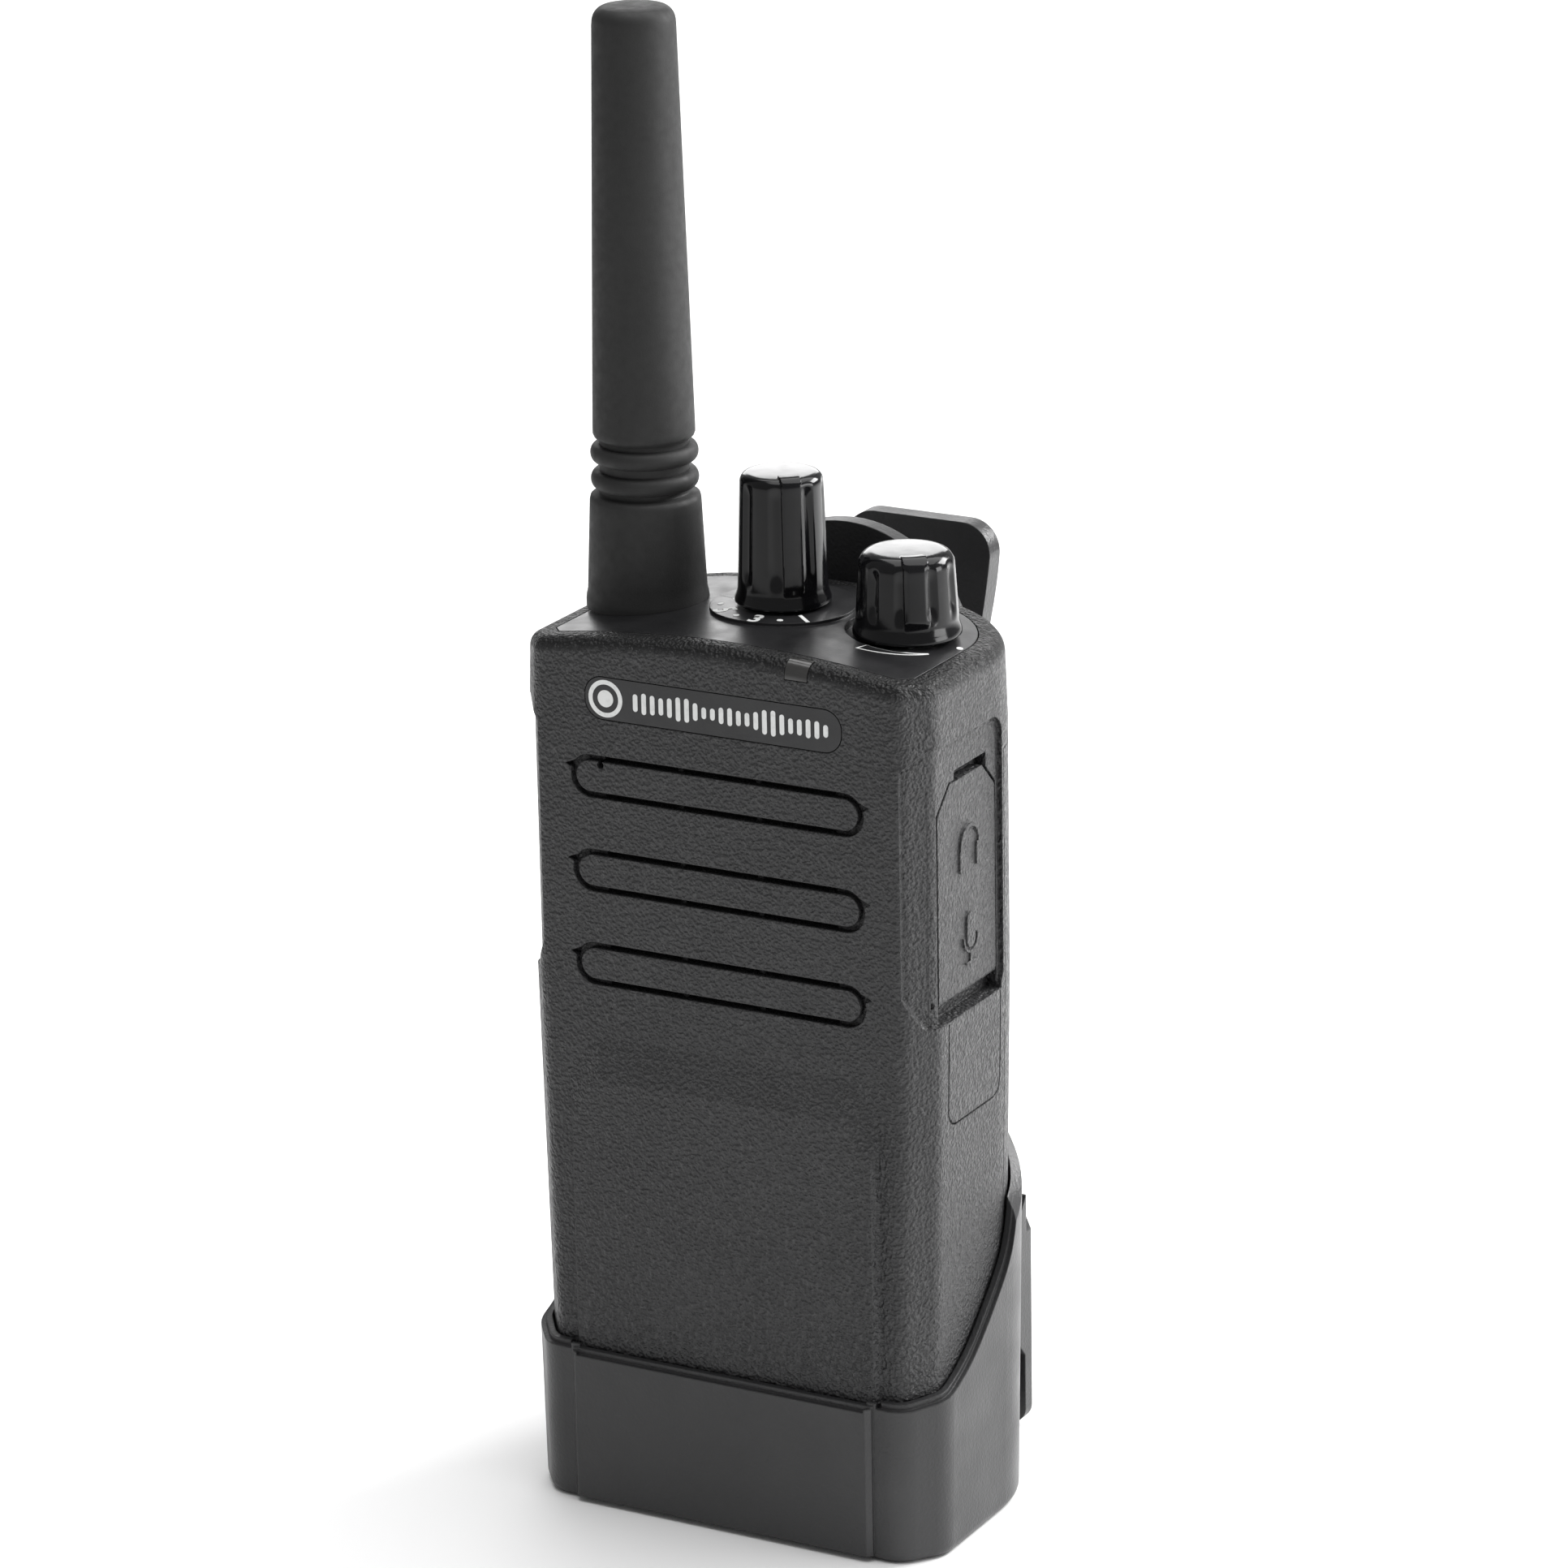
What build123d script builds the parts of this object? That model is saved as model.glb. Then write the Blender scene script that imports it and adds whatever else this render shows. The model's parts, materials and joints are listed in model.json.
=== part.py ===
from build123d import *
import math
import os

# A hand-held two-way radio seated in a plastic belt holster with a swivel spring clip.
# Millimetres. Origin: centre of the face that the holster stands on. +X right, +Y back, +Z up.

# Radio body, plan outline
FRONT_Y = -16.0
BACK_Y = 16.8
HALF_WIDTH = 27.5
FOOT_HALF_WIDTH = 26.3
BEVEL_X = 3.0
BEVEL_Y = 3.8
BEVEL_SOFT_R = 2.4
CORNER_R = 14.0
CORNER_Y = 2.4

# Radio body, heights
FOOT_Z = 2.6
TAPER_TOP_Z = 67.5
HEAD_Z = 97.0
TOP_Z = 111.4
HEAD_DRAFT = 0.45
DRAFT_Z = 99.8
CROWN_R = 156.0
RIM_R = 1.9
RIM_WIDTH = 3.0
WALL = 1.8
SEAM = 0.15
SPLIT_Y = 4.8

# Deck and what stands on it
DECK_THICK = 2.2
DECK_SEAT_Z = 107.0
ANTENNA_AT = (-18.5, 1.2)
CHANNEL_AT = (-0.95, 3.0)
VOLUME_AT = (16.1, 2.2)
ANTENNA_FOOT_Z = 110.0
ANTENNA_TOP_Z = 182.6
DIAL_R = 8.8
DIAL_STEP = 0.4
VOLUME_SEAT_Z = 110.2
VOLUME_SEAT_R = 7.4
KNOB_GAP = 0.3
KNOB_FLARE = 1.3
FLUTE_R = 1.9
FLUTE_BITE = 0.45
BUSH_R = 3.0
SHAFT_R = 2.0
SHAFT_FIT = 0.05

# Speaker slots, each a bar inside a stadium-shaped groove
SLOT_Z = (93.4, 81.6, 69.8)
SLOT_HALF = 19.7
SLOT_HIGH = 5.4
SLOT_GROOVE = 0.8
SLOT_DEEP = 1.1
SLOT_TIP = 20.4

# Label and lamp
LABEL = (-17.5, 17.0, 100.6, 106.0)
LABEL_THICK = 0.4
LAMP_X = 11.0
LAMP_WIDE = 2.9
LAMP_DEEP = 1.9

# Lower front pad
PAD_HALF = 21.0
PAD_PROUD = 0.9
PAD_TOP_Z = 60.5
PAD_SLOPE = 5.2
PAD_CORNER = 4.0

# Recessed side panels
PANEL_DEEP = 0.6
PANEL_LOW_Z = 67.4
PANEL_HIGH_Z = 101.6
PANEL_BACK_Y = SPLIT_Y - 0.5
PANEL_CORNER = 2.6
PANEL_GROOVE = (-10.2, 3.4, 54.0)
GROOVE_WIDE = 0.25
GROOVE_DEEP = 0.35

# Accessory cover on the right side
COVER = (-11.4, 3.2, 69.3, 96.2)
COVER_THICK = 1.4
COVER_CHAMFER = 3.2
COVER_PIVOT_X = 26.15
COVER_PIVOT_Z = 70.1
COVER_PIN_R = 0.45
NOTCH = (-7.2, 1.0, 97.6)
SOCKET_BLOCK = (-11.2, -4.3, 71.5, 94.5)
HEADPHONE_Z = 87.6
MICROPHONE_Z = 77.0
SIGN_PROUD = 0.25

# Buttons on the left side: name, low y, high y, low z, high z
BUTTONS = (
    ("ptt_button", -10.0, 0.5, 84.2, 98.6),
    ("side_button_upper", -7.6, -0.4, 76.4, 82.0),
    ("side_button_lower", -7.6, -0.4, 69.4, 75.0),
)
BUTTON_GAP = 0.25
BUTTON_LIP = 0.7
BUTTON_PROUD = 0.5

# Chassis and board
CHASSIS = (-23.0, 23.0, -4.0, 3.6, 6.0, 95.5)
WEB_Y = (-0.8, 0.8)
BOARD_THICK = 1.4
SCREW_AT = ((-19.5, 12.0), (19.5, 12.0), (-19.5, 62.0), (19.5, 62.0))
COMPONENTS = ((-14, 25, 9, 9), (13, 28, 12, 7), (0, 56, 10, 10), (-14, 45, 6, 8))
CANS = ((-6, 5, 12, 34), (8, 20, 40, 57))

# Speaker and microphone
SPEAKER_Z = 80.0
SPEAKER_R = 16.5
MIC_AT = (-15.6, 94.9)
MIC_R = 2.0

# Holster
FIT_GAP = 0.3
CUP_WALL = 1.4
CUP_FRONT_WALL = 1.4
LIP_WIDE = 0.75
LIP_HIGH = 0.7
CUP_FLOOR = 2.3
SPINE_HALF = 15.0
SPINE_THICK = 2.2
ARCH_R = 16.0
ARCH_TOP_Z = 118.3
FRONT_LIP_Z = 20.2
FRONT_LIP_HALF = 19.8
SPINE_Y = BACK_Y + FIT_GAP
SPINE_BACK_Y = SPINE_Y + SPINE_THICK

# Belt clip
SWIVEL_Z = 86.0
SWIVEL_R = 4.0
CLIP_GAP = 0.3
BASE_THICK = 2.0
BASE_HALF = 8.2
PIN_Z = 70.0
PIN_Y = 23.0
PIN_R = 1.2
PIN_FIT = 0.05
EAR_R = 2.15
EAR_X = 6.9
EAR_HALF = 1.3
LEVER_EAR_X = (8.5, 10.3)
LEVER_INNER_Y = 25.4
LEVER_THICK = 1.8
TAB_HALF = 10.2
TAB_TOP_Z = 114.1
TAB_CORNER = 4.0
TAB_Y = 36.4
ARM_HALF = 19.25
ARM_CORNER = 2.2
CHEEK_THICK = 1.8
ARM_TOP_Z = 33.5
ARM_FOOT_Z = 0.6
CHEEK_Z = (12.6, 24.0)


def span(x0, x1, y0, y1, z0, z1):
    """A block between two corners."""
    return Pos((x0 + x1) / 2, (y0 + y1) / 2, (z0 + z1) / 2) * Box(x1 - x0, y1 - y0, z1 - z0)


def rod(x, y, low, high, radius):
    """An upright cylinder."""
    return Pos(x, y, (low + high) / 2) * Cylinder(radius, high - low)


def rod_x(low, high, y, z, radius):
    """A cylinder along X."""
    return Pos((low + high) / 2, y, z) * Rot(0, 90, 0) * Cylinder(radius, high - low)


def rod_y(x, low, high, z, radius):
    """A cylinder along Y."""
    return Pos(x, (low + high) / 2, z) * Rot(90, 0, 0) * Cylinder(radius, high - low)


def plate_xz(points, low_y, high_y):
    """A flat polygon in the XZ plane, given thickness along Y."""
    face = make_face(Polyline(*[(x, low_y, z) for x, z in points], close=True))
    return extrude(face, amount=high_y - low_y, dir=(0, 1, 0))


def plate_yz(points, low_x, high_x):
    """A flat polygon in the YZ plane, given thickness along X."""
    face = make_face(Polyline(*[(low_x, y, z) for y, z in points], close=True))
    return extrude(face, amount=high_x - low_x, dir=(1, 0, 0))


def half_width_at(z):
    """The radio narrows a little towards its foot and over its head."""
    share = min(1.0, max(0.0, (z - FOOT_Z) / (TAPER_TOP_Z - FOOT_Z)))
    head = max(0.0, (z - DRAFT_Z) / (TOP_Z - DRAFT_Z))
    return FOOT_HALF_WIDTH + share * (HALF_WIDTH - FOOT_HALF_WIDTH) - head * HEAD_DRAFT


def outline(z, grow=0.0):
    """Plan outline at a height: flat front, bevelled front corners, round rear corners, crowned back."""
    side = half_width_at(z) + grow
    front = FRONT_Y - grow
    back = BACK_Y + grow
    corner = CORNER_R + grow
    tilt = math.atan2(BEVEL_Y, BEVEL_X)
    bevel_x = side - grow - BEVEL_X + grow * math.tan(tilt / 2)
    bevel_y = FRONT_Y + BEVEL_Y - grow * math.tan((math.pi / 2 - tilt) / 2)
    arc_x = side - corner
    lift = back - CORNER_Y - corner
    drop = (arc_x**2 - lift**2) / (2 * lift)
    crown = back - CORNER_Y + drop
    reach = math.hypot(arc_x, drop)
    blend_x = crown * arc_x / reach
    blend_y = CORNER_Y - drop + crown * drop / reach
    turn = math.atan2(drop, arc_x) / 2
    bulge_x = arc_x + corner * math.cos(turn)
    bulge_y = CORNER_Y + corner * math.sin(turn)
    edges = [Line((-bevel_x, front, z), (bevel_x, front, z))]
    for s in (1, -1):
        edges += [
            Line((s * bevel_x, front, z), (s * side, bevel_y, z)),
            Line((s * side, bevel_y, z), (s * side, CORNER_Y, z)),
            ThreePointArc((s * side, CORNER_Y, z), (s * bulge_x, bulge_y, z), (s * blend_x, blend_y, z)),
        ]
    edges.append(ThreePointArc((blend_x, blend_y, z), (0, back, z), (-blend_x, blend_y, z)))
    face = make_face(edges)
    corners = [v for v in face.vertices() if v.Y < bevel_y + 0.1]
    return fillet(corners, max(0.4, BEVEL_SOFT_R + grow))


def radio_form(low, high, grow=0.0):
    """The radio's outer form between two heights, grown or shrunk all round."""
    steps = [low] + [z for z in (TAPER_TOP_Z, DRAFT_Z) if low < z < high] + [high]
    form = None
    for foot, top in zip(steps, steps[1:]):
        piece = loft([outline(foot, grow), outline(top, grow)], ruled=True)
        form = piece if form is None else form + piece
    return form


def crown(drop=0.0):
    """A long barrel across the radio whose top is the crowned deck surface."""
    return rod_y(0, -40, 40, TOP_Z - drop - CROWN_R, CROWN_R)


def top_z(x):
    """Height of the crowned deck at a distance from the centre plane."""
    return TOP_Z - CROWN_R + math.sqrt(CROWN_R**2 - x**2)


def stadium(x_half, z_mid, z_high, low_y, high_y):
    """A stadium-shaped bar lying along X."""
    plane = Plane(origin=(0, high_y, z_mid), x_dir=(1, 0, 0), z_dir=(0, -1, 0))
    return extrude(plane * SlotOverall(2 * x_half, z_high), amount=high_y - low_y)


def round_panel_xz(x0, x1, z0, z1, radius, low_y, high_y):
    """A plate with round corners, facing front."""
    plane = Plane(origin=((x0 + x1) / 2, high_y, (z0 + z1) / 2), x_dir=(1, 0, 0), z_dir=(0, -1, 0))
    return extrude(plane * RectangleRounded(x1 - x0, z1 - z0, radius), amount=high_y - low_y)


def round_panel_yz(y0, y1, z0, z1, radius, low_x, high_x):
    """A plate with round corners, facing sideways."""
    plane = Plane(origin=(low_x, (y0 + y1) / 2, (z0 + z1) / 2), x_dir=(0, 1, 0), z_dir=(1, 0, 0))
    return extrude(plane * RectangleRounded(y1 - y0, z1 - z0, radius), amount=high_x - low_x)


# ---- radio: housing and what fills its openings ----


def side_panel_cutter(side):
    """The shallow recess of each side, which starts on the bevel and ends at the battery seam."""
    points = [
        (24.2, PANEL_LOW_Z + 4.2),
        (24.2, PANEL_HIGH_Z - 2.2),
        (26.6, PANEL_HIGH_Z),
        (30.0, PANEL_HIGH_Z),
        (30.0, PANEL_LOW_Z),
        (26.2, PANEL_LOW_Z),
    ]
    reach = plate_xz([(side * x, z) for x, z in points], -18, PANEL_BACK_Y)
    reach &= round_panel_yz(-30, PANEL_BACK_Y, PANEL_LOW_Z, PANEL_HIGH_Z, PANEL_CORNER, -40, 40)
    skin = radio_form(64, 104, 0.5) - radio_form(63, 105, -PANEL_DEEP)
    return reach & skin


def side_groove(side):
    """A hair-line groove below the recess that outlines a panel."""
    y0, y1, z0 = PANEL_GROOVE
    wide = GROOVE_WIDE
    ring = round_panel_yz(y0, y1, z0, PANEL_LOW_Z + 3, 2.2, -40, 40)
    ring -= round_panel_yz(y0 + wide, y1 - wide, z0 + wide, PANEL_LOW_Z + 4, 2.0, -41, 41)
    ring &= span(side * 32 - 12, side * 32 + 12, -30, 30, 50, PANEL_LOW_Z - 0.2)
    low, high = z0 - 2, PANEL_LOW_Z + 2
    return ring & (radio_form(low, high, 0.5) - radio_form(low - 1, high + 1, -GROOVE_DEEP))


def speaker_slot(z):
    """The groove round one speaker bar, with sound gaps through the wall above and below the bar."""
    floor_y = FRONT_Y + SLOT_DEEP
    groove = stadium(SLOT_HALF, z, SLOT_HIGH, FRONT_Y - 1, floor_y)
    bar = stadium(SLOT_HALF - SLOT_GROOVE, z, SLOT_HIGH - 2 * SLOT_GROOVE, FRONT_Y - 2, floor_y + 1)
    cut = groove - bar
    tip_z = z + SLOT_HIGH / 2 - 1.5
    for s in (1, -1):
        tip = [(SLOT_HALF - 1.4, tip_z + 0.9), (SLOT_TIP, tip_z), (SLOT_HALF - 0.8, tip_z - 0.9)]
        cut += plate_xz([(s * x, z_at) for x, z_at in tip], FRONT_Y - 1, floor_y)
    gap_mid = SLOT_HIGH / 2 - SLOT_GROOVE / 2
    for x0, x1 in ((-15.5, -5.6), (-4.9, 4.9), (5.6, 15.5)):
        for s in (1, -1):
            low = z + s * gap_mid - SLOT_GROOVE / 2
            cut += span(x0, x1, FRONT_Y, FRONT_Y + WALL + 1, low, low + SLOT_GROOVE)
    return cut


def front_pad():
    """The lower front pad, which stands proud below a smooth slope."""
    low = FOOT_Z + 2.0

    def shape(half, top, y):
        points = [(-half, low), (-half, top - PAD_CORNER - 1), (PAD_CORNER - half, top)]
        points += [(-x, z) for x, z in points[::-1]]
        return make_face(Polyline(*[(x, y, z) for x, z in points], close=True))

    back = shape(PAD_HALF, PAD_TOP_Z, FRONT_Y + 0.5)
    rim = shape(PAD_HALF, PAD_TOP_Z, FRONT_Y)
    face = shape(PAD_HALF - 0.7, PAD_TOP_Z - PAD_SLOPE, FRONT_Y - PAD_PROUD)
    return loft([rim, face], ruled=True) + loft([back, rim], ruled=True)


def lamp_block(gap):
    """The space of the lamp window across the front rim."""
    half = LAMP_WIDE / 2 + gap
    top = top_z(LAMP_X)
    back = FRONT_Y + LAMP_DEEP + gap
    return span(LAMP_X - half, LAMP_X + half, FRONT_Y - 1, back, top - 2.1 - gap, top + 1)


def rimmed_form():
    """The closed outer form of housing and battery, with its crowned top and soft rim."""
    form = radio_form(FOOT_Z, TOP_Z + 1) & crown()
    rim = [e for e in form.edges() if e.center().Z > TOP_Z - 3.5 and e.bounding_box().min.Z > TOP_Z - 3.5]
    return fillet(rim, RIM_R)


def cover_pocket():
    """The pocket that the accessory cover lies in, with its finger notch and hinge bores."""
    y0, y1, z0, z1 = COVER
    gap = 0.3
    low_x = HALF_WIDTH - PANEL_DEEP - COVER_THICK - 0.15
    pocket = plate_yz(cover_points(y0 - gap, y1 + gap, PANEL_LOW_Z, z1 + gap), low_x, 30)
    notch = span(low_x, 30, NOTCH[0], NOTCH[1], z1 - 2, NOTCH[2])
    pins = rod_y(COVER_PIVOT_X, y0 - 1.2, y1 + 1.2, COVER_PIVOT_Z, COVER_PIN_R + SHAFT_FIT)
    return pocket + notch + pins


def cover_points(y0, y1, z0, z1):
    """Outline of the accessory cover: square foot, bevelled top corners."""
    low = [(y0, z0), (y1, z0)]
    shoulders = [(y1, z1 - COVER_CHAMFER), (y1 - COVER_CHAMFER, z1)]
    return low + shoulders + [(y0 + COVER_CHAMFER, z1), (y0, z1 - COVER_CHAMFER)]


def front_housing(form):
    """One moulding: front, sides, foot and closed head."""
    body = form & (span(-40, 40, -30, SPLIT_Y, 0, 130) + span(-40, 40, SPLIT_Y - 1, 30, HEAD_Z, 130))
    hollow = radio_form(FOOT_Z + WALL, DECK_SEAT_Z - 1.2, -WALL)
    body -= hollow - span(-40, 40, SPLIT_Y - WALL, 30, HEAD_Z, HEAD_Z + WALL)
    body -= radio_form(DECK_SEAT_Z - 2, DECK_SEAT_Z, -RIM_WIDTH - 2.0)
    body -= radio_form(DECK_SEAT_Z, TOP_Z + 2, -RIM_WIDTH)
    body += front_pad()
    for z in SLOT_Z:
        body -= speaker_slot(z)
    x0, x1, z0, z1 = LABEL
    body -= round_panel_xz(x0, x1, z0, z1, 2.4, FRONT_Y - 1, FRONT_Y + LABEL_THICK)
    body -= lamp_block(0.1)
    for side in (1, -1):
        body -= side_panel_cutter(side)
        body -= side_groove(side)
    seal_y = CHASSIS[3] - 1.7
    for x, y0, y1 in ((HALF_WIDTH - 4.1, COVER[0] - 1.4, seal_y), (HALF_WIDTH - 3.1, seal_y, SPLIT_Y)):
        body += span(x, HALF_WIDTH - 1.2, y0, y1, PANEL_LOW_Z - 0.6, PANEL_HIGH_Z - 5)
    body -= cover_pocket()
    body -= span(20, HALF_WIDTH - 1.5, *SOCKET_BLOCK)
    gap = BUTTON_GAP
    for _, y0, y1, z0, z1 in BUTTONS:
        body -= round_panel_yz(y0 - gap, y1 + gap, z0 - gap, z1 + gap, 2.0, -30, -24)
    for x, z in SCREW_AT:
        boss = rod_y(x, FRONT_Y + 0.5, CHASSIS[2], z, 2.6)
        body += boss - rod_y(x, FRONT_Y + 4, CHASSIS[2] + 1, z, 0.8)
    body -= rod_y(MIC_AT[0], FRONT_Y - 1, FRONT_Y + 3, MIC_AT[1], 0.45)
    return body


def control_deck():
    """Inset crowned top plate with the dial ring and the three control holes."""
    plate = radio_form(DECK_SEAT_Z + 0.02, TOP_Z + 1, -RIM_WIDTH - SEAM) & crown()
    x, y = CHANNEL_AT
    ring = rod(x, y, TOP_Z - 2, TOP_Z + 2, DIAL_R) & crown(-DIAL_STEP)
    hollow = radio_form(DECK_SEAT_Z - 1, TOP_Z, -RIM_WIDTH - 2.3) & crown(DECK_THICK)
    plate = plate + ring - hollow
    plate -= rod(*ANTENNA_AT, 100, 120, 4.05)
    plate -= rod(*VOLUME_AT, VOLUME_SEAT_Z, 120, VOLUME_SEAT_R)
    for at in (CHANNEL_AT, VOLUME_AT):
        plate -= rod(*at, 100, 120, BUSH_R + 0.05)
    return plate


def label_plate():
    """Thin plaque let into the front."""
    x0, x1, z0, z1 = LABEL
    gap = 0.12
    return round_panel_xz(x0 + gap, x1 - gap, z0 + gap, z1 - gap, 2.3, FRONT_Y, FRONT_Y + LABEL_THICK)


def led_lens(form):
    """Lamp window that follows the rim."""
    return lamp_block(0.0) & form


def dust_felt():
    """Felt behind the speaker slots, with a hole for the microphone."""
    sheet = span(-17.4, 17.4, FRONT_Y + WALL, FRONT_Y + WALL + 0.4, 64.0, 98.0)
    return sheet - rod_y(MIC_AT[0], FRONT_Y, FRONT_Y + 5, MIC_AT[1], 2.8)


def speaker():
    """Loudspeaker: steel basket with its magnet behind and its cone in front."""
    x, z = 0, SPEAKER_Z
    face = FRONT_Y + WALL + 0.9
    basket = rod_y(x, face, face + 3.0, z, SPEAKER_R)
    basket += rod_y(x, face + 3.0, face + 6.2, z, 8.5)
    cone = Pos(x, face + 1.0, z) * Rot(90, 0, 0) * Cone(14.6, 6.0, 2.0)
    return basket - cone - rod_y(x, face - 1, face + 0.6, z, 14.6)


def speaker_gasket():
    """Rubber ring between speaker and felt."""
    low = FRONT_Y + WALL + 0.4
    ring = rod_y(0, low, low + 0.5, SPEAKER_Z, SPEAKER_R)
    return ring - rod_y(0, low - 1, low + 2, SPEAKER_Z, SPEAKER_R - 1.7)


def microphone_boot():
    """Rubber cup that holds the microphone against the front wall."""
    x, z = MIC_AT
    low = FRONT_Y + WALL
    boot = rod_y(x, low, low + 3.0, z, MIC_R + 0.7) - rod_y(x, low + 0.8, low + 4, z, MIC_R)
    return boot - rod_y(x, low - 1, low + 1, z, 0.6)


def microphone():
    """Microphone capsule."""
    x, z = MIC_AT
    low = FRONT_Y + WALL + 0.8
    return rod_y(x, low, low + 2.6, z, MIC_R)


def side_button(y0, y1, z0, z1):
    """A cap that shows in its window, with a lip behind the wall that keeps it in."""
    outer = -(HALF_WIDTH - PANEL_DEEP + BUTTON_PROUD)
    inner = -(HALF_WIDTH - WALL)
    cap = round_panel_yz(y0, y1, z0, z1, 1.8, outer, inner)
    front = cap.faces().sort_by(Axis.X)[0]
    cap = fillet(front.edges(), 0.6)
    over = BUTTON_LIP - 0.15
    lip = span(inner, inner + 0.7, y0 - BUTTON_LIP, y1 + BUTTON_LIP, z0 - over, z1 + over)
    ribs = None
    for k in range(3):
        z = (z0 + z1) / 2 + (k - 1) * 1.6
        groove = span(outer - 1, outer + 0.25, y0 + 1.6, y1 - 1.6, z - 0.25, z + 0.25)
        ribs = groove if ribs is None else ribs + groove
    return cap + lip - ribs


def button_keypad():
    """Rubber sheet with a dome under each button."""
    x = -(HALF_WIDTH - WALL) + 0.7 + 0.9
    sheet = span(x, x + 0.8, -10.2, 1.8, 68.6, 99.4)
    for _, y0, y1, z0, z1 in BUTTONS:
        sheet += rod_x(x - 0.35, x + 0.1, (y0 + y1) / 2, (z0 + z1) / 2, 1.6)
    return sheet


def accessory_cover():
    """Hinged cover: plate with round hinge foot, stub pins and two raised signs."""
    y0, y1, z0, z1 = COVER
    face = HALF_WIDTH - PANEL_DEEP
    plate = plate_yz(cover_points(y0, y1, COVER_PIVOT_Z, z1), face - COVER_THICK, face)
    plate += rod_y(COVER_PIVOT_X, y0, y1, COVER_PIVOT_Z, COVER_THICK / 2)
    plate += rod_y(COVER_PIVOT_X, y0 - 0.9, y1 + 0.9, COVER_PIVOT_Z, COVER_PIN_R)
    mid = (y0 + y1) / 2 + 0.6
    return plate + headphone_sign(mid, face) + microphone_sign(mid, face)


def headphone_sign(y, face):
    """Raised headband with two ear cups."""
    low, high = face - 0.2, face + SIGN_PROUD
    band = rod_x(low, high, y, HEADPHONE_Z, 2.5) - rod_x(low - 1, high + 1, y, HEADPHONE_Z, 2.1)
    sign = band & span(20, 40, -30, 30, HEADPHONE_Z - 0.4, HEADPHONE_Z + 5)
    for s in (1, -1):
        cup_y = y + s * 2.1
        cup = round_panel_yz(cup_y - 0.55, cup_y + 0.55, HEADPHONE_Z - 3.2, HEADPHONE_Z - 0.2, 0.5, low, high)
        sign += cup
    return sign


def microphone_sign(y, face):
    """Raised capsule, its holder, stem and foot."""
    low, high = face - 0.2, face + SIGN_PROUD
    mid = MICROPHONE_Z
    sign = round_panel_yz(y - 1.0, y + 1.0, mid - 2.2, mid + 2.2, 0.95, low, high)
    holder = rod_x(low, high, y, mid - 1.0, 1.9) - rod_x(low - 1, high + 1, y, mid - 1.0, 1.6)
    sign += holder & span(20, 40, -30, 30, mid - 4, mid - 0.8)
    sign += span(low, high, y - 0.2, y + 0.2, mid - 4.0, mid - 2.8)
    return sign + span(low, high, y - 1.2, y + 1.2, mid - 4.2, mid - 3.9)


def accessory_sockets():
    """Two jack sockets in one block behind the cover."""
    y0, y1, z0, z1 = SOCKET_BLOCK
    block = span(18.5, HALF_WIDTH - PANEL_DEEP - COVER_THICK - 0.3, y0 + 0.1, y1 - 0.1, z0 + 0.1, z1 - 0.1)
    mid = (y0 + y1) / 2
    block -= rod_x(19.5, 30, mid, 88.5, 1.75)
    block -= rod_x(19.5, 30, mid, 77.5, 1.25)
    return block


# ---- radio: inside ----


def chassis():
    """Die-cast frame with a web between board and battery."""
    x0, x1, y0, y1, z0, z1 = CHASSIS
    frame = span(x0, x1, y0, y1, z0, z1)
    frame -= span(x0 + 1.4, x1 - 1.4, y0 - 1, WEB_Y[0], z0 + 1.4, z1 - 1.4)
    frame -= span(x0 + 1.4, x1 - 1.4, WEB_Y[1], y1 + 1, z0 + 1.4, z1 - 1.4)
    for x, z in SCREW_AT:
        frame += rod_y(x, y0, WEB_Y[1] + 0.4, z, 3.0)
        frame -= rod_y(x, y0 - 1, y1 + 1, z, 1.05)
    frame -= span(-8, 8, -3, 3, 84, 92)
    frame -= span(17.8, 24, y0 - 1, -3.9, 71, 95)
    return frame


def main_board():
    """Circuit board on the front of the chassis web, with its larger components."""
    x0, x1, _, _, z0, z1 = CHASSIS
    back = WEB_Y[0] - 0.05
    board = span(x0 + 1.7, x1 - 1.7, back - BOARD_THICK, back, z0 + 1.7, z1 - 1.7)
    for x, z in SCREW_AT:
        board -= rod_y(x, -10, 5, z, 3.2)
    board -= span(-7.8, 7.8, -10, 5, 84.2, 91.8)
    front = back - BOARD_THICK
    for x, z, w, h in COMPONENTS:
        board += span(x - w / 2, x + w / 2, front - 1.0, front + 0.2, z - h / 2, z + h / 2)
    return board


def shield_cans():
    """Two folded metal cans over the transmitter and receiver."""
    top = WEB_Y[0] - 0.05 - BOARD_THICK
    cans = None
    for x0, x1, z0, z1 in CANS:
        can = span(x0, x1, top - 2.4, top, z0, z1)
        can -= span(x0 + 0.3, x1 - 0.3, top - 2.1, top + 1, z0 + 0.3, z1 - 0.3)
        cans = can if cans is None else cans + can
    return cans


def main_seal():
    """Rubber ring round the chassis edge."""
    x0, x1, _, y1, z0, z1 = CHASSIS
    low = y1 - 1.6
    outer = span(x0 - 1.1, x1 + 1.1, low, low + 1.2, z0 - 1.2, z1 + 1.2)
    return outer - span(x0 - 0.05, x1 + 0.05, low - 1, low + 2, z0 - 0.05, z1 + 0.05)


def chassis_screws():
    """Screws from the chassis into the housing bosses."""
    head_y = WEB_Y[1] + 0.4
    screws = None
    for x, z in SCREW_AT:
        screw = rod_y(x, head_y, head_y + 1.3, z, 2.0)
        screw -= rod_y(x, head_y + 0.6, head_y + 2, z, 0.7)
        screw += rod_y(x, CHASSIS[2], head_y + 0.2, z, 1.0)
        screw += rod_y(x, CHASSIS[2] - 5, CHASSIS[2], z, 0.78)
        screws = screw if screws is None else screws + screw
    return screws


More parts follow.
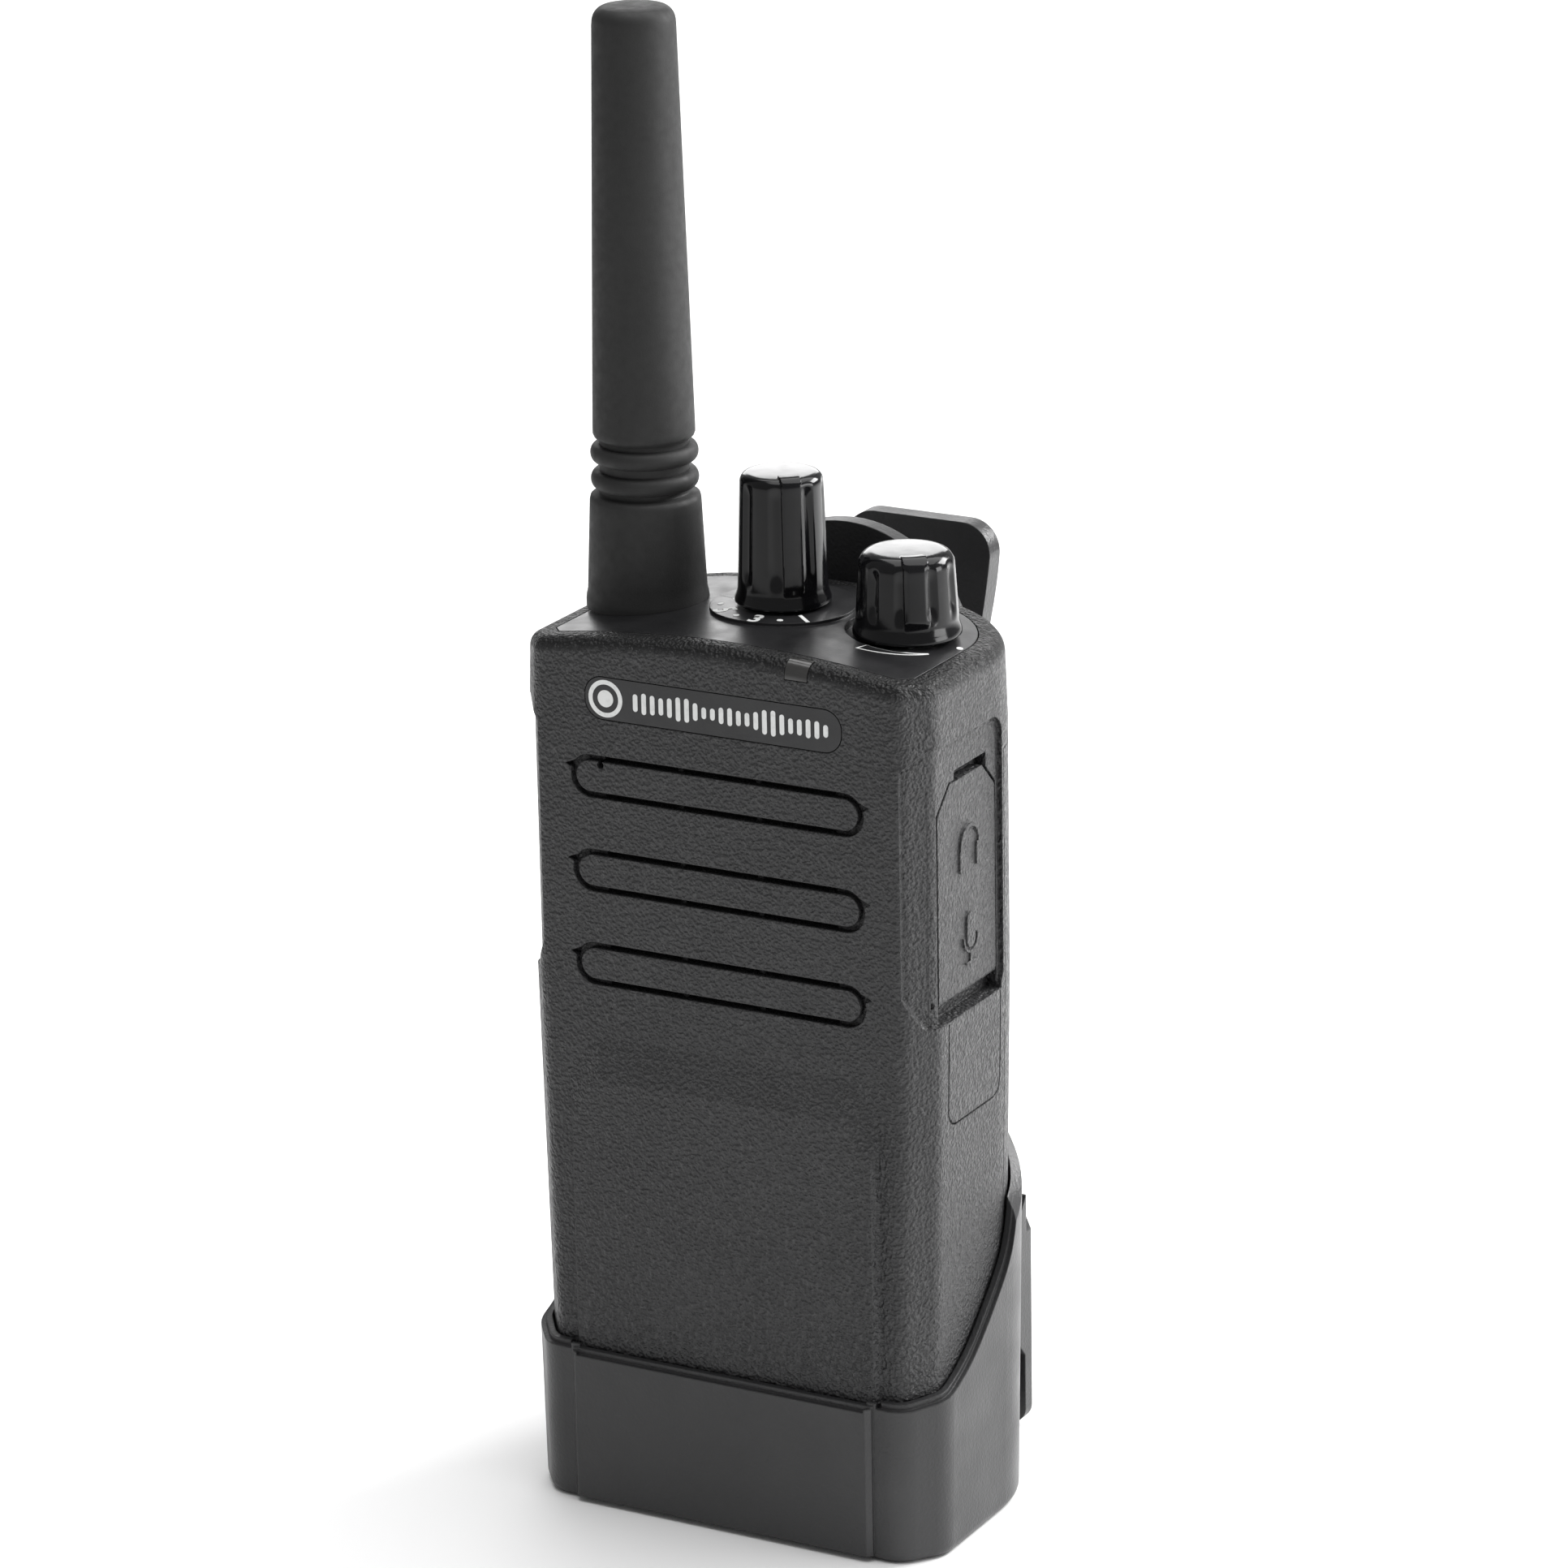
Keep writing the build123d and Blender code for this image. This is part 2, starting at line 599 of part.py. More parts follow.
def rotary_control(at, half, depth):
    """A rotary control under the deck: square body and threaded bush with a through bore."""
    x, y = at
    ceiling = top_z(abs(x) + half) - DECK_THICK - 0.1
    body = span(x - half, x + half, y - half, y + half, ceiling - depth, ceiling)
    body += rod(x, y, ceiling - 1, top_z(x) + 2.2, BUSH_R)
    return body - rod(x, y, ceiling - depth + 1.0, 130, SHAFT_R + SHAFT_FIT)


def control_shaft(at, half, depth, high):
    """Shaft that turns in the bush and carries the knob."""
    x, y = at
    ceiling = top_z(abs(x) + half) - DECK_THICK - 0.1
    shaft = rod(x, y, ceiling - depth + 1.2, high, SHAFT_R)
    return shaft - span(x - 3, x + 3, y + 1.2, y + 4, top_z(x) + 3, high + 1)


def control_nuts():
    """Flat hexagon nuts that hold the controls in the deck."""
    nuts = None
    for (x, y), seat in ((CHANNEL_AT, top_z(CHANNEL_AT[0]) + DIAL_STEP), (VOLUME_AT, VOLUME_SEAT_Z)):
        low = seat + 0.02
        nut = extrude(Pos(x, y, low) * RegularPolygon(3.9, 6), amount=1.2)
        nut -= rod(x, y, low - 1, low + 3, BUSH_R)
        nuts = nut if nuts is None else nuts + nut
    return nuts


def knob(at, low, high, flare_r, foot_r, head_r, rim_r, flutes, pointer_deg, cavity_r):
    """Moulded knob: flared foot, tapered grip with hollow flutes, rounded head and raised pointer."""
    top = high - low
    side = [(flare_r, 0), (flare_r, 0.5), (foot_r, KNOB_FLARE), (head_r, top)]
    profile = Polyline((0, 0), *side, (0, top), close=True)
    body = revolve(make_face(Plane.XZ * profile), Axis.Z, 360)
    rim = [e for e in body.edges().filter_by(GeomType.CIRCLE) if abs(e.center().Z - top) < 0.01]
    body = fillet(rim, rim_r)
    lean = math.degrees(math.atan2(foot_r - head_r, top))
    scoop = Pos(0, 0, KNOB_FLARE + 10.5) * Cylinder(FLUTE_R, 20)
    scoop = Pos(0, FLUTE_BITE - foot_r - FLUTE_R, 0) * Rot(-lean, 0, 0) * scoop
    for k in range(flutes):
        body -= Rot(0, 0, pointer_deg + 360 / flutes * (k + 0.5)) * scoop
    pointer = span(-0.95, 0.95, -(head_r + 0.25), -head_r + 2.6, KNOB_FLARE + 1, top + 0.2)
    body += Rot(0, 0, pointer_deg) * pointer
    body -= rod(0, 0, -1, 2.4, cavity_r)
    body -= rod(0, 0, 0, top - 2.2, SHAFT_R)
    return Pos(*at, low) * body


def channel_knob():
    """Tall knob for the eight channels."""
    low = top_z(CHANNEL_AT[0]) + DIAL_STEP + KNOB_GAP
    return knob(CHANNEL_AT, low, low + 16.0, 5.8, 5.4, 4.85, 1.1, 8, 45, 4.6)


def volume_knob():
    """Low, wide knob for volume and power."""
    low = VOLUME_SEAT_Z + KNOB_GAP
    return knob(VOLUME_AT, low, low + 10.3, 6.5, 6.1, 5.6, 1.5, 10, 35, 4.7)


def antenna_profile():
    """Half profile of the rubber sheath as radius and height: cone foot, two flex rings, slim whip."""
    profile = [(0, 0), (7.4, 0), (7.4, 1.0), (7.2, 1.7), (6.65, 13.3), (6.2, 13.7), (5.45, 13.9)]
    for z in (15.7, 18.9):
        profile += [(5.4, z - 1.1), (6.2, z - 0.75), (6.45, z - 0.35), (6.45, z + 0.35), (6.2, z + 0.75)]
        profile += [(5.4, z + 1.1)]
    profile += [(5.45, 20.6), (5.95, 21.0), (6.1, 21.5)]
    whip = [(5.0, -2.4), (4.4, -0.6), (3.2, 0), (0, 0)]
    return [(r, ANTENNA_FOOT_Z + z) for r, z in profile] + [(r, ANTENNA_TOP_Z + z) for r, z in whip]


def antenna_sheath():
    """Rubber sheath moulded over the whip."""
    body = revolve(make_face(Plane.XZ * Polyline(*antenna_profile(), close=True)), Axis.Z, 360)
    body -= rod(0, 0, ANTENNA_FOOT_Z - 1, ANTENNA_FOOT_Z + 3, 4.0)
    body -= rod(0, 0, ANTENNA_FOOT_Z, ANTENNA_TOP_Z - 8, 1.4)
    body = Pos(*ANTENNA_AT, 0) * body
    return body - crown()


def antenna_core():
    """Whip inside the sheath, with its foot screwed in the socket."""
    return rod(*ANTENNA_AT, 105.0, ANTENNA_TOP_Z - 8, 1.4)


def antenna_socket():
    """Threaded metal insert that holds the antenna in the deck."""
    x, y = ANTENNA_AT
    socket = rod(x, y, 102.5, ANTENNA_FOOT_Z + 2.9, 3.95) + rod(x, y, 102.5, 104.5, 5.2)
    return socket - rod(x, y, 105.0, 130, 1.4)


# ---- battery ----


def battery_case(form):
    """Rear shell of the battery pack, with the latch pocket near its foot."""
    keep = span(-40, 40, SPLIT_Y + SEAM, 30, 0, HEAD_Z - SEAM)
    body = form & keep
    hollow = radio_form(FOOT_Z + 1.5, HEAD_Z - 1.6, -1.5) & span(-40, 40, 0, 40, 0, 200)
    body -= hollow
    body += span(-11, 11, 10.6, BACK_Y - 1.2, FOOT_Z + 0.5, 21)
    body -= span(-9, 9, 12.6, 30, 6.5, 19)
    for s in (1, -1):
        body -= span(s * 5 - 2.5, s * 5 + 2.5, BACK_Y - 0.9, 30, 90.0, 93.0)
    return body


def battery_lid():
    """Front plate of the battery pack."""
    plate = radio_form(FOOT_Z + 1.6, HEAD_Z - 1.8, -1.6) & span(-40, 40, SPLIT_Y + 0.3, SPLIT_Y + 1.5, 0, 200)
    return plate - span(-8.2, 8.2, 0, 20, 83.8, 92.2)


def battery_cell():
    """Flat cell."""
    return span(-17, 17, SPLIT_Y + 1.8, 12.0, 24.0, 82.0)


def battery_contacts():
    """Block of spring contacts between chassis and battery."""
    block = span(-7.6, 7.6, -2.8, 2.0, 84.4, 91.6)
    for k in range(3):
        x = (k - 1) * 4.5
        block += span(x - 1.1, x + 1.1, 1.5, SPLIT_Y + 1.4, 86, 90)
    return block


def battery_latch():
    """Sliding catch with thumb ribs."""
    latch = span(-7, 7, 12.9, 15.9, 7.2, 14.6)
    for k in range(3):
        latch -= span(-5, 5, 15.5, 17, 8.4 + 2 * k, 9.2 + 2 * k)
    return latch


def latch_spring():
    """Flat wave spring above the latch."""
    low, high, half, thick = 14.65, 18.95, 5.0, 0.35
    waves = 4
    upper = []
    lower = []
    for k in range(waves + 1):
        x = -half + 2 * half * k / waves
        z = low if k % 2 == 0 else high - thick
        lower.append((x, z))
        upper.append((x, z + thick))
    return plate_xz(lower + upper[::-1], 13.4, 15.2)


# ---- holster ----


def rim_cutter():
    """Everything above the cup's swept rim: low in front, rising steeply to the back."""
    side = [(-14.0, 21.0), (-10.2, 22.1), (-6.0, 24.4), (-1.7, 28.1), (1.5, 31.4), (4.0, 35.0)]
    side += [(5.5, 39.3), (6.2, 46.0)]
    outer = [(6.2, 46.0), (6.2, 60.0), (-40, 60.0), (-40, 20.6), (-16.5, 20.6), (-14.0, 21.0)]
    edges = [Spline(*[(-40, y, z) for y, z in side])]
    for (y0, z0), (y1, z1) in zip(outer, outer[1:]):
        edges.append(Line((-40, y0, z0), (-40, y1, z1)))
    return extrude(make_face(edges), amount=80, dir=(1, 0, 0))


def spine_plate():
    """Back plate: straight spine and round arch behind the knobs."""
    low = 30.0
    arch_z = ARCH_TOP_Z - ARCH_R
    edges = [
        Line((-SPINE_HALF, 0, low), (SPINE_HALF, 0, low)),
        Line((SPINE_HALF, 0, low), (ARCH_R, 0, arch_z)),
        ThreePointArc((ARCH_R, 0, arch_z), (0, 0, ARCH_TOP_Z), (-ARCH_R, 0, arch_z)),
        Line((-ARCH_R, 0, arch_z), (-SPINE_HALF, 0, low)),
    ]
    return extrude(Pos(0, SPINE_Y, 0) * make_face(edges), amount=SPINE_THICK, dir=(0, 1, 0))


def shoulder_cutter(side):
    """What lies outside the curved shoulder that narrows the cup to its spine."""
    curve = [(15.2, 60.5), (16.8, 52.0), (19.8, 46.5), (24.0, 42.8), (27.4, 39.2), (29.2, 34.4), (31, 28.0)]
    edges = [
        Spline(*[(side * x, 0, z) for x, z in curve]),
        Line((side * 31, 0, 28.0), (side * 31, 0, 60.5)),
        Line((side * 31, 0, 60.5), (side * 15.2, 0, 60.5)),
    ]
    return extrude(Pos(0, 4, 0) * make_face(edges), amount=36, dir=(0, 1, 0))


def holster_cup():
    """One moulding: cup, swept rim, back plate and arched tongue."""
    outer = radio_form(0, 60, FIT_GAP + CUP_WALL)
    foot = [e for e in outer.edges() if e.bounding_box().max.Z < 0.01]
    outer = fillet(foot, 1.2)
    pocket = radio_form(CUP_FLOOR, 70, FIT_GAP)
    pad_y = FRONT_Y - PAD_PROUD - FIT_GAP
    pad_space = span(-PAD_HALF - 0.4, PAD_HALF + 0.4, pad_y, 0, CUP_FLOOR, 70)
    wall_half = PAD_HALF - 0.4
    front_wall = span(-wall_half, wall_half, pad_y - CUP_FRONT_WALL, -12, 0.8, FRONT_LIP_Z)
    front_wall = chamfer(front_wall.edges().filter_by(Axis.Z).group_by(Axis.Y)[0], 0.6)
    shell = outer + front_wall - pocket - pad_space
    above = rim_cutter() + span(-FRONT_LIP_HALF, FRONT_LIP_HALF, -40, -12, FRONT_LIP_Z, 70)
    shell -= above
    lip = radio_form(0, 70, FIT_GAP + LIP_WIDE)
    lip += span(-wall_half - 0.4, wall_half + 0.4, pad_y - LIP_WIDE, -12, 0, 70)
    shell -= Pos(0, 0, -LIP_HIGH) * above - lip
    for s in (1, -1):
        shell -= shoulder_cutter(s)
    plate = spine_plate() - radio_form(CUP_FLOOR, 99, FIT_GAP)
    body = shell + plate
    for s in (1, -1):
        body += span(s * 22 - 2.5, s * 22 + 2.5, -9, 9, 0, 0.8)
    body -= span(-9, 9, -9, 9, -1, 0.6)
    return body - rod_y(0, SPINE_Y - 1, SPINE_BACK_Y + 1, SWIVEL_Z, SWIVEL_R)


def swivel_post():
    """Hub pressed in the spine, on which the clip turns."""
    top = SPINE_BACK_Y + CLIP_GAP + BASE_THICK + 0.1
    post = rod_y(0, SPINE_Y + 0.02, top, SWIVEL_Z, SWIVEL_R - 0.01)
    return post - rod_y(0, top - 3.6, top + 1, SWIVEL_Z, 1.0)


def swivel_washer():
    """Washer that keeps the clip on the post."""
    low = SPINE_BACK_Y + CLIP_GAP + BASE_THICK + 0.1
    return rod_y(0, low, low + 0.7, SWIVEL_Z, 6.0) - rod_y(0, low - 1, low + 2, SWIVEL_Z, 1.1)


def swivel_screw():
    """Slotted screw in the post."""
    low = SPINE_BACK_Y + CLIP_GAP + BASE_THICK + 0.8
    screw = rod_y(0, low, low + 1.3, SWIVEL_Z, 2.3)
    screw -= span(-3, 3, low + 0.8, low + 2, SWIVEL_Z - 0.3, SWIVEL_Z + 0.3)
    return screw + rod_y(0, low - 4.2, low + 0.1, SWIVEL_Z, 0.98)


def clip_base():
    """Plate that turns on the post, with two ears for the lever's pin."""
    low = SPINE_BACK_Y + CLIP_GAP
    plate = round_panel_xz(-BASE_HALF, BASE_HALF, 64.0, 97.0, 5.0, low, low + BASE_THICK)
    plate -= rod_y(0, low - 1, low + 5, SWIVEL_Z, SWIVEL_R + 0.05)
    plate -= span(-4.7, 4.7, low - 1, low + 5, PIN_Z - 2.6, PIN_Z + 2.6)
    for s in (1, -1):
        x0, x1 = s * EAR_X - EAR_HALF, s * EAR_X + EAR_HALF
        ear = rod_x(x0, x1, PIN_Y, PIN_Z, EAR_R)
        ear += span(x0, x1, low + 0.5, PIN_Y, PIN_Z - EAR_R, PIN_Z + EAR_R)
        plate += ear
    return plate - rod_x(-12, 12, PIN_Y, PIN_Z, PIN_R)


def clip_pin():
    """Steel pin of the lever."""
    return rod_x(-11.4, 11.4, PIN_Y, PIN_Z, PIN_R)


def clip_spring():
    """Torsion spring on the pin: wound body and two legs."""
    coil = rod_x(-4.2, 4.2, PIN_Y, PIN_Z, 1.9) - rod_x(-5, 5, PIN_Y, PIN_Z, PIN_R + 0.05)
    for k in range(7):
        ring = rod_x(-4.0 + 1.2 * k, -3.6 + 1.2 * k, PIN_Y, PIN_Z, 3.0) - rod_x(-6, 6, PIN_Y, PIN_Z, 1.65)
        coil -= ring
    base_y = SPINE_BACK_Y + CLIP_GAP + BASE_THICK
    coil += span(3.4, 4.1, base_y, base_y + 0.7, PIN_Z + 1, PIN_Z + 9)
    return coil


def lever_sheet():
    """Lever seen from the side: upright arm, then a sweep back to the thumb tab."""
    y0 = LEVER_INNER_Y
    y1 = y0 + LEVER_THICK
    tab = TAB_Y
    inner = [(y0, ARM_FOOT_Z), (y0, 62), (y0 + 1.4, 74), (y0 + 4.2, 92)]
    high = TAB_TOP_Z
    tip = [(tab - 1.2, high - 4), (tab - 0.6, high), (tab + 2.0, high), (tab + 1.4, high - 5)]
    outer = [(y1 + 4.4, 92), (y1 + 1.5, 74), (y1, 62), (y1, ARM_FOOT_Z)]
    points = [(-30, y, z) for y, z in inner + tip + outer]
    edges = [
        Line(points[0], points[1]),
        Spline(*points[1:6], tangents=((0, 0, 1), (0, 0.12, 1))),
        Line(points[5], points[6]),
        Spline(*points[6:11], tangents=((0, -0.12, -1), (0, 0, -1))),
        Line(points[10], points[11]),
        Line(points[11], points[0]),
    ]
    return extrude(make_face(edges), amount=60, dir=(1, 0, 0))


def clip_lever():
    """Spring lever: thumb tab, narrow neck, wide belt arm with cheeks, and ears on the pin."""
    neck = TAB_HALF - 0.4
    wide = ARM_HALF
    top = ARM_TOP_Z
    shape = [(-wide, ARM_FOOT_Z), (-wide, top - 7), (-wide + 3, top), (-11.5, 48), (-neck - 0.4, 60)]
    shape += [(-neck, 84), (-TAB_HALF, TAB_TOP_Z + 1)]
    shape += [(-x, z) for x, z in shape[::-1]]
    lever = lever_sheet() & plate_xz(shape, 15, 45)
    upright = lever.edges().filter_by(Axis.Y, tolerance=12)
    lever = fillet([e for e in upright if e.center().Z > TAB_TOP_Z - 1], TAB_CORNER)
    upright = lever.edges().filter_by(Axis.Y, tolerance=12)
    lever = fillet([e for e in upright if e.center().Z < 2], ARM_CORNER)
    cheek_low = SPINE_BACK_Y + 0.5
    back_y = LEVER_INNER_Y + 0.5
    z0, z1 = CHEEK_Z
    side = [(back_y, z0 - 3), (cheek_low + 3.4, z0), (cheek_low + 0.9, z1), (back_y, top - 2)]
    for s in (1, -1):
        x0, x1 = sorted((s * (wide - CHEEK_THICK), s * wide))
        lever += plate_yz(side, x0, x1)
        x0, x1 = sorted(s * x for x in LEVER_EAR_X)
        ear = rod_x(x0, x1, PIN_Y, PIN_Z, EAR_R)
        ear += span(x0, x1, PIN_Y, LEVER_INNER_Y + 1.6, PIN_Z - EAR_R, PIN_Z + EAR_R)
        lever += ear - rod_x(-15, 15, PIN_Y, PIN_Z, PIN_R + PIN_FIT)
    return lever


def build():
    """All sub-parts by name."""
    form = rimmed_form()
    control = {"channel": (CHANNEL_AT, 5.4, 6.5), "volume": (VOLUME_AT, 4.5, 6.0)}
    made = {
        "front_housing": front_housing(form),
        "control_deck": control_deck(),
        "label_plate": label_plate(),
        "led_lens": led_lens(form),
        "dust_felt": dust_felt(),
        "speaker": speaker(),
        "speaker_gasket": speaker_gasket(),
        "microphone": microphone(),
        "microphone_boot": microphone_boot(),
        "button_keypad": button_keypad(),
        "accessory_cover": accessory_cover(),
        "accessory_sockets": accessory_sockets(),
        "chassis": chassis(),
        "main_board": main_board(),
        "shield_cans": shield_cans(),
        "main_seal": main_seal(),
        "chassis_screws": chassis_screws(),
        "channel_switch": rotary_control(*control["channel"]),
        "channel_shaft": control_shaft(*control["channel"], 125.0),
        "volume_control": rotary_control(*control["volume"]),
        "volume_shaft": control_shaft(*control["volume"], 118.0),
        "control_nuts": control_nuts(),
        "channel_knob": channel_knob(),
        "volume_knob": volume_knob(),
        "antenna_sheath": antenna_sheath(),
        "antenna_core": antenna_core(),
        "antenna_socket": antenna_socket(),
        "battery_case": battery_case(form),
        "battery_lid": battery_lid(),
        "battery_cell": battery_cell(),
        "battery_contacts": battery_contacts(),
        "battery_latch": battery_latch(),
        "latch_spring": latch_spring(),
        "holster_cup": holster_cup(),
        "swivel_post": swivel_post(),
        "swivel_washer": swivel_washer(),
        "swivel_screw": swivel_screw(),
        "clip_base": clip_base(),
        "clip_pin": clip_pin(),
        "clip_spring": clip_spring(),
        "clip_lever": clip_lever(),
    }
    for name, *place in BUTTONS:
        made[name] = side_button(*place)
    return made


os.makedirs("parts", exist_ok=True)
for node, solid in build().items():
    export_step(solid, f"parts/{node}.step")
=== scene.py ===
import json
import math

import bmesh
import bpy
from mathutils import Matrix, Vector
from mathutils.bvhtree import BVHTree


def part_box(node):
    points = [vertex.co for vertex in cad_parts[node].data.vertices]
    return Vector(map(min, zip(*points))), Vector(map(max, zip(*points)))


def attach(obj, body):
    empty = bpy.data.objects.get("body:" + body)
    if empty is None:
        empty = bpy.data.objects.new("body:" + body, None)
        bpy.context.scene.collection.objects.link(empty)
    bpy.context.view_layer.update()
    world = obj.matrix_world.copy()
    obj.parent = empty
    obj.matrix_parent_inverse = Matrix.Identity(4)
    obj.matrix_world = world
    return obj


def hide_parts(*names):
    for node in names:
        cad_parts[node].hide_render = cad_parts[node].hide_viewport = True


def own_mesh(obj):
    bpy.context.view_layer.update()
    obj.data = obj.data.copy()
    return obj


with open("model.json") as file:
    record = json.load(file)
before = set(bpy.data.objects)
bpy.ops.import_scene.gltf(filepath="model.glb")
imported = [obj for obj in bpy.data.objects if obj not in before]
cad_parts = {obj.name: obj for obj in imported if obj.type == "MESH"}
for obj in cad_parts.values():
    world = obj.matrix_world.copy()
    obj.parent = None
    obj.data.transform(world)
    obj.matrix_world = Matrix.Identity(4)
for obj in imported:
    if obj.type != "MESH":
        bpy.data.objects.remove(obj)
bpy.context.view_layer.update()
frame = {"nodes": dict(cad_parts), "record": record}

NODES = frame["nodes"]
MM = 0.001

# Camera, as angles and distances about a point on the radio.
CAMERA_AZIMUTH = math.radians(29.05)
CAMERA_ELEVATION = math.radians(18.08)
CAMERA_ROLL = math.radians(-1.07)
CAMERA_DISTANCE = 0.75645
CAMERA_TARGET = Vector((0.00922, -0.016, 0.09609))
CAMERA_LENS = 149.07
SENSOR = 36.0

# Light of the surround and the soft panels: name, place, aim, size in metres, watts.
SURROUND = 0.30
PANELS = (
    ("overhead_panel", (0.25, 0.30, 1.5), (0.1, 0.2, 0.0), (2.2, 1.9), 32.0),
    ("right_panel", (1.3, 0.3, 0.25), (0.0, 0.0, 0.05), (0.7, 0.5), 7.0),
    ("back_panel", (-0.62, 1.06, 0.42), (0.0, 0.0, 0.11), (0.8, 0.35), 3.2),
    ("floor_panel", (0.24, 0.32, 0.30), (0.16, 0.22, 0.0), (0.22, 0.22), 2.6),
)

# Printed marks: height above the surface and depth below it.
INK = 0.04 * MM
SUNK = 0.03 * MM

# Radio, as in the CAD model.
RIM_Z = 107.5 * MM
CROWN_R = 156 * MM
ANTENNA_HIGH = 72.6 * MM
RING_Z = (18.9 * MM, 15.7 * MM)

# ---- materials ----


class Finish:
    """A Principled material that is built up in layers, in the object's own coordinates."""

    def __init__(self, name, colour, roughness, **sockets):
        self.material = bpy.data.materials.new(name)
        self.material.use_nodes = True
        self.tree = self.material.node_tree
        self.surface = self.tree.nodes["Principled BSDF"]
        self.place = self.add("ShaderNodeTexCoord").outputs["Object"]
        self.colour = (*colour, 1.0)
        self.surface.inputs["Base Color"].default_value = self.colour
        self.surface.inputs["Roughness"].default_value = roughness
        for socket, value in sockets.items():
            self.surface.inputs[socket.replace("_", " ")].default_value = value
        self.normal = None

    def add(self, kind, **inputs):
        node = self.tree.nodes.new(kind)
        for name, value in inputs.items():
            node.inputs[name.replace("_", " ")].default_value = value
        return node

    def link(self, output, socket):
        self.tree.links.new(output, socket)

    def stretched(self, stretch):
        """The object's coordinates, scaled by a different amount along each axis."""
        mapping = self.add("ShaderNodeMapping", Scale=stretch)
        self.link(self.place, mapping.inputs["Vector"])
        return mapping.outputs["Vector"]

    def noise(self, size, detail=2.0, stretch=None):
        node = self.add("ShaderNodeTexNoise", Scale=1.0 / size, Detail=detail)
        self.link(self.stretched(stretch) if stretch else self.place, node.inputs["Vector"])
        return node.outputs["Fac"]

    def cells(self, size):
        node = self.add("ShaderNodeTexVoronoi", Scale=1.0 / size)
        node.feature = "SMOOTH_F1"
        node.inputs["Smoothness"].default_value = 0.6
        self.link(self.place, node.inputs["Vector"])
        return node.outputs["Distance"]

    def ranged(self, value, low, high, to_low, to_high):
        node = self.add("ShaderNodeMapRange", From_Min=low, From_Max=high, To_Min=to_low, To_Max=to_high)
        self.link(value, node.inputs["Value"])
        return node.outputs["Result"]

    def tint(self, value, low, high, other):
        """Mixes another colour into the base colour where the value is high."""
        mix = self.tree.nodes.new("ShaderNodeMix")
        mix.data_type = "RGBA"
        before = self.surface.inputs["Base Color"]
        if before.is_linked:
            self.link(before.links[0].from_socket, mix.inputs["A"])
        else:
            mix.inputs["A"].default_value = self.colour
        mix.inputs["B"].default_value = (*other, 1.0)
        self.link(self.ranged(value, low, high, 0.0, 1.0), mix.inputs["Factor"])
        self.link(mix.outputs["Result"], before)
        return self

    def polish(self, value, low, high, rough_low, rough_high):
        """Lets the roughness follow a value."""
        self.link(self.ranged(value, low, high, rough_low, rough_high), self.surface.inputs["Roughness"])
        return self

    def paint_rim_shade(self, above, share):
        """Painted shade: darkens the base colour of what faces upwards above a height (the top rim band) and
        lowers its specular level there.
        """
        facing = self.add("ShaderNodeSeparateXYZ")
        self.link(self.add("ShaderNodeNewGeometry").outputs["True Normal"], facing.inputs[0])
        where = self.add("ShaderNodeSeparateXYZ")
        self.link(self.place, where.inputs[0])
        rim_shade_mask = self.add("ShaderNodeMath")
        rim_shade_mask.operation = "MULTIPLY"
        self.link(self.ranged(facing.outputs["Z"], 0.05, 0.6, 0.0, 1.0), rim_shade_mask.inputs[0])
        self.link(self.ranged(where.outputs["Z"], above - 0.5 * MM, above, 0.0, 1.0), rim_shade_mask.inputs[1])
        # Painted shade: the upward-facing rim's base colour is scaled down by share.
        self.tint(rim_shade_mask.outputs[0], 0.0, 1.0, tuple(share * c for c in self.colour[:3]))
        shine = self.surface.inputs["Specular IOR Level"]
        self.link(self.ranged(rim_shade_mask.outputs[0], 0.0, 1.0, shine.default_value, 0.22), shine)
        return self

    def soft_edges(self, radius):
        """Shades every edge as if it had a small radius."""
        node = self.add("ShaderNodeBevel", Radius=radius)
        node.samples = 6
        self.normal = node.outputs["Normal"]
        self.link(self.normal, self.surface.inputs["Normal"])
        return self

    def bump(self, height, depth, strength=1.0):
        node = self.add("ShaderNodeBump", Strength=strength, Distance=depth)
        self.link(height, node.inputs["Height"])
        if self.normal is not None:
            self.link(self.normal, node.inputs["Normal"])
        self.normal = node.outputs["Normal"]
        self.link(self.normal, self.surface.inputs["Normal"])
        return self


def grained_plastic():
    """Black housing plastic with a spark-eroded grain and a painted shade on its top rim."""
    f = Finish("housing_plastic", (0.022, 0.022, 0.023), 0.42, Specular_IOR_Level=0.42)
    f.soft_edges(0.30 * MM)
    grain = f.noise(0.46 * MM, 1.0)
    f.bump(f.cells(0.42 * MM), 0.14 * MM)
    f.bump(grain, 0.34 * MM)
    f.tint(f.noise(14 * MM, 3.0), 0.35, 0.75, (0.029, 0.029, 0.030))
    f.tint(grain, 0.52, 0.75, (0.046, 0.046, 0.047))
    f.polish(f.noise(0.8 * MM, 2.0), 0.3, 0.7, 0.34, 0.56)
    # Painted shade on the upward-facing top rim above RIM_Z, at 0.45 of the base colour.
    f.paint_rim_shade(RIM_Z, 0.45)
    return f.material


def deck_plastic():
    """Semi-gloss black of the control deck."""
    f = Finish("deck_plastic", (0.012, 0.012, 0.013), 0.32, Specular_IOR_Level=0.4)
    f.soft_edges(0.12 * MM)
    f.bump(f.noise(0.25 * MM, 1.0), 0.008 * MM)
    f.tint(f.noise(9 * MM, 3.0), 0.4, 0.7, (0.016, 0.016, 0.017))
    f.polish(f.noise(3 * MM, 4.0), 0.3, 0.7, 0.28, 0.40)
    return f.material


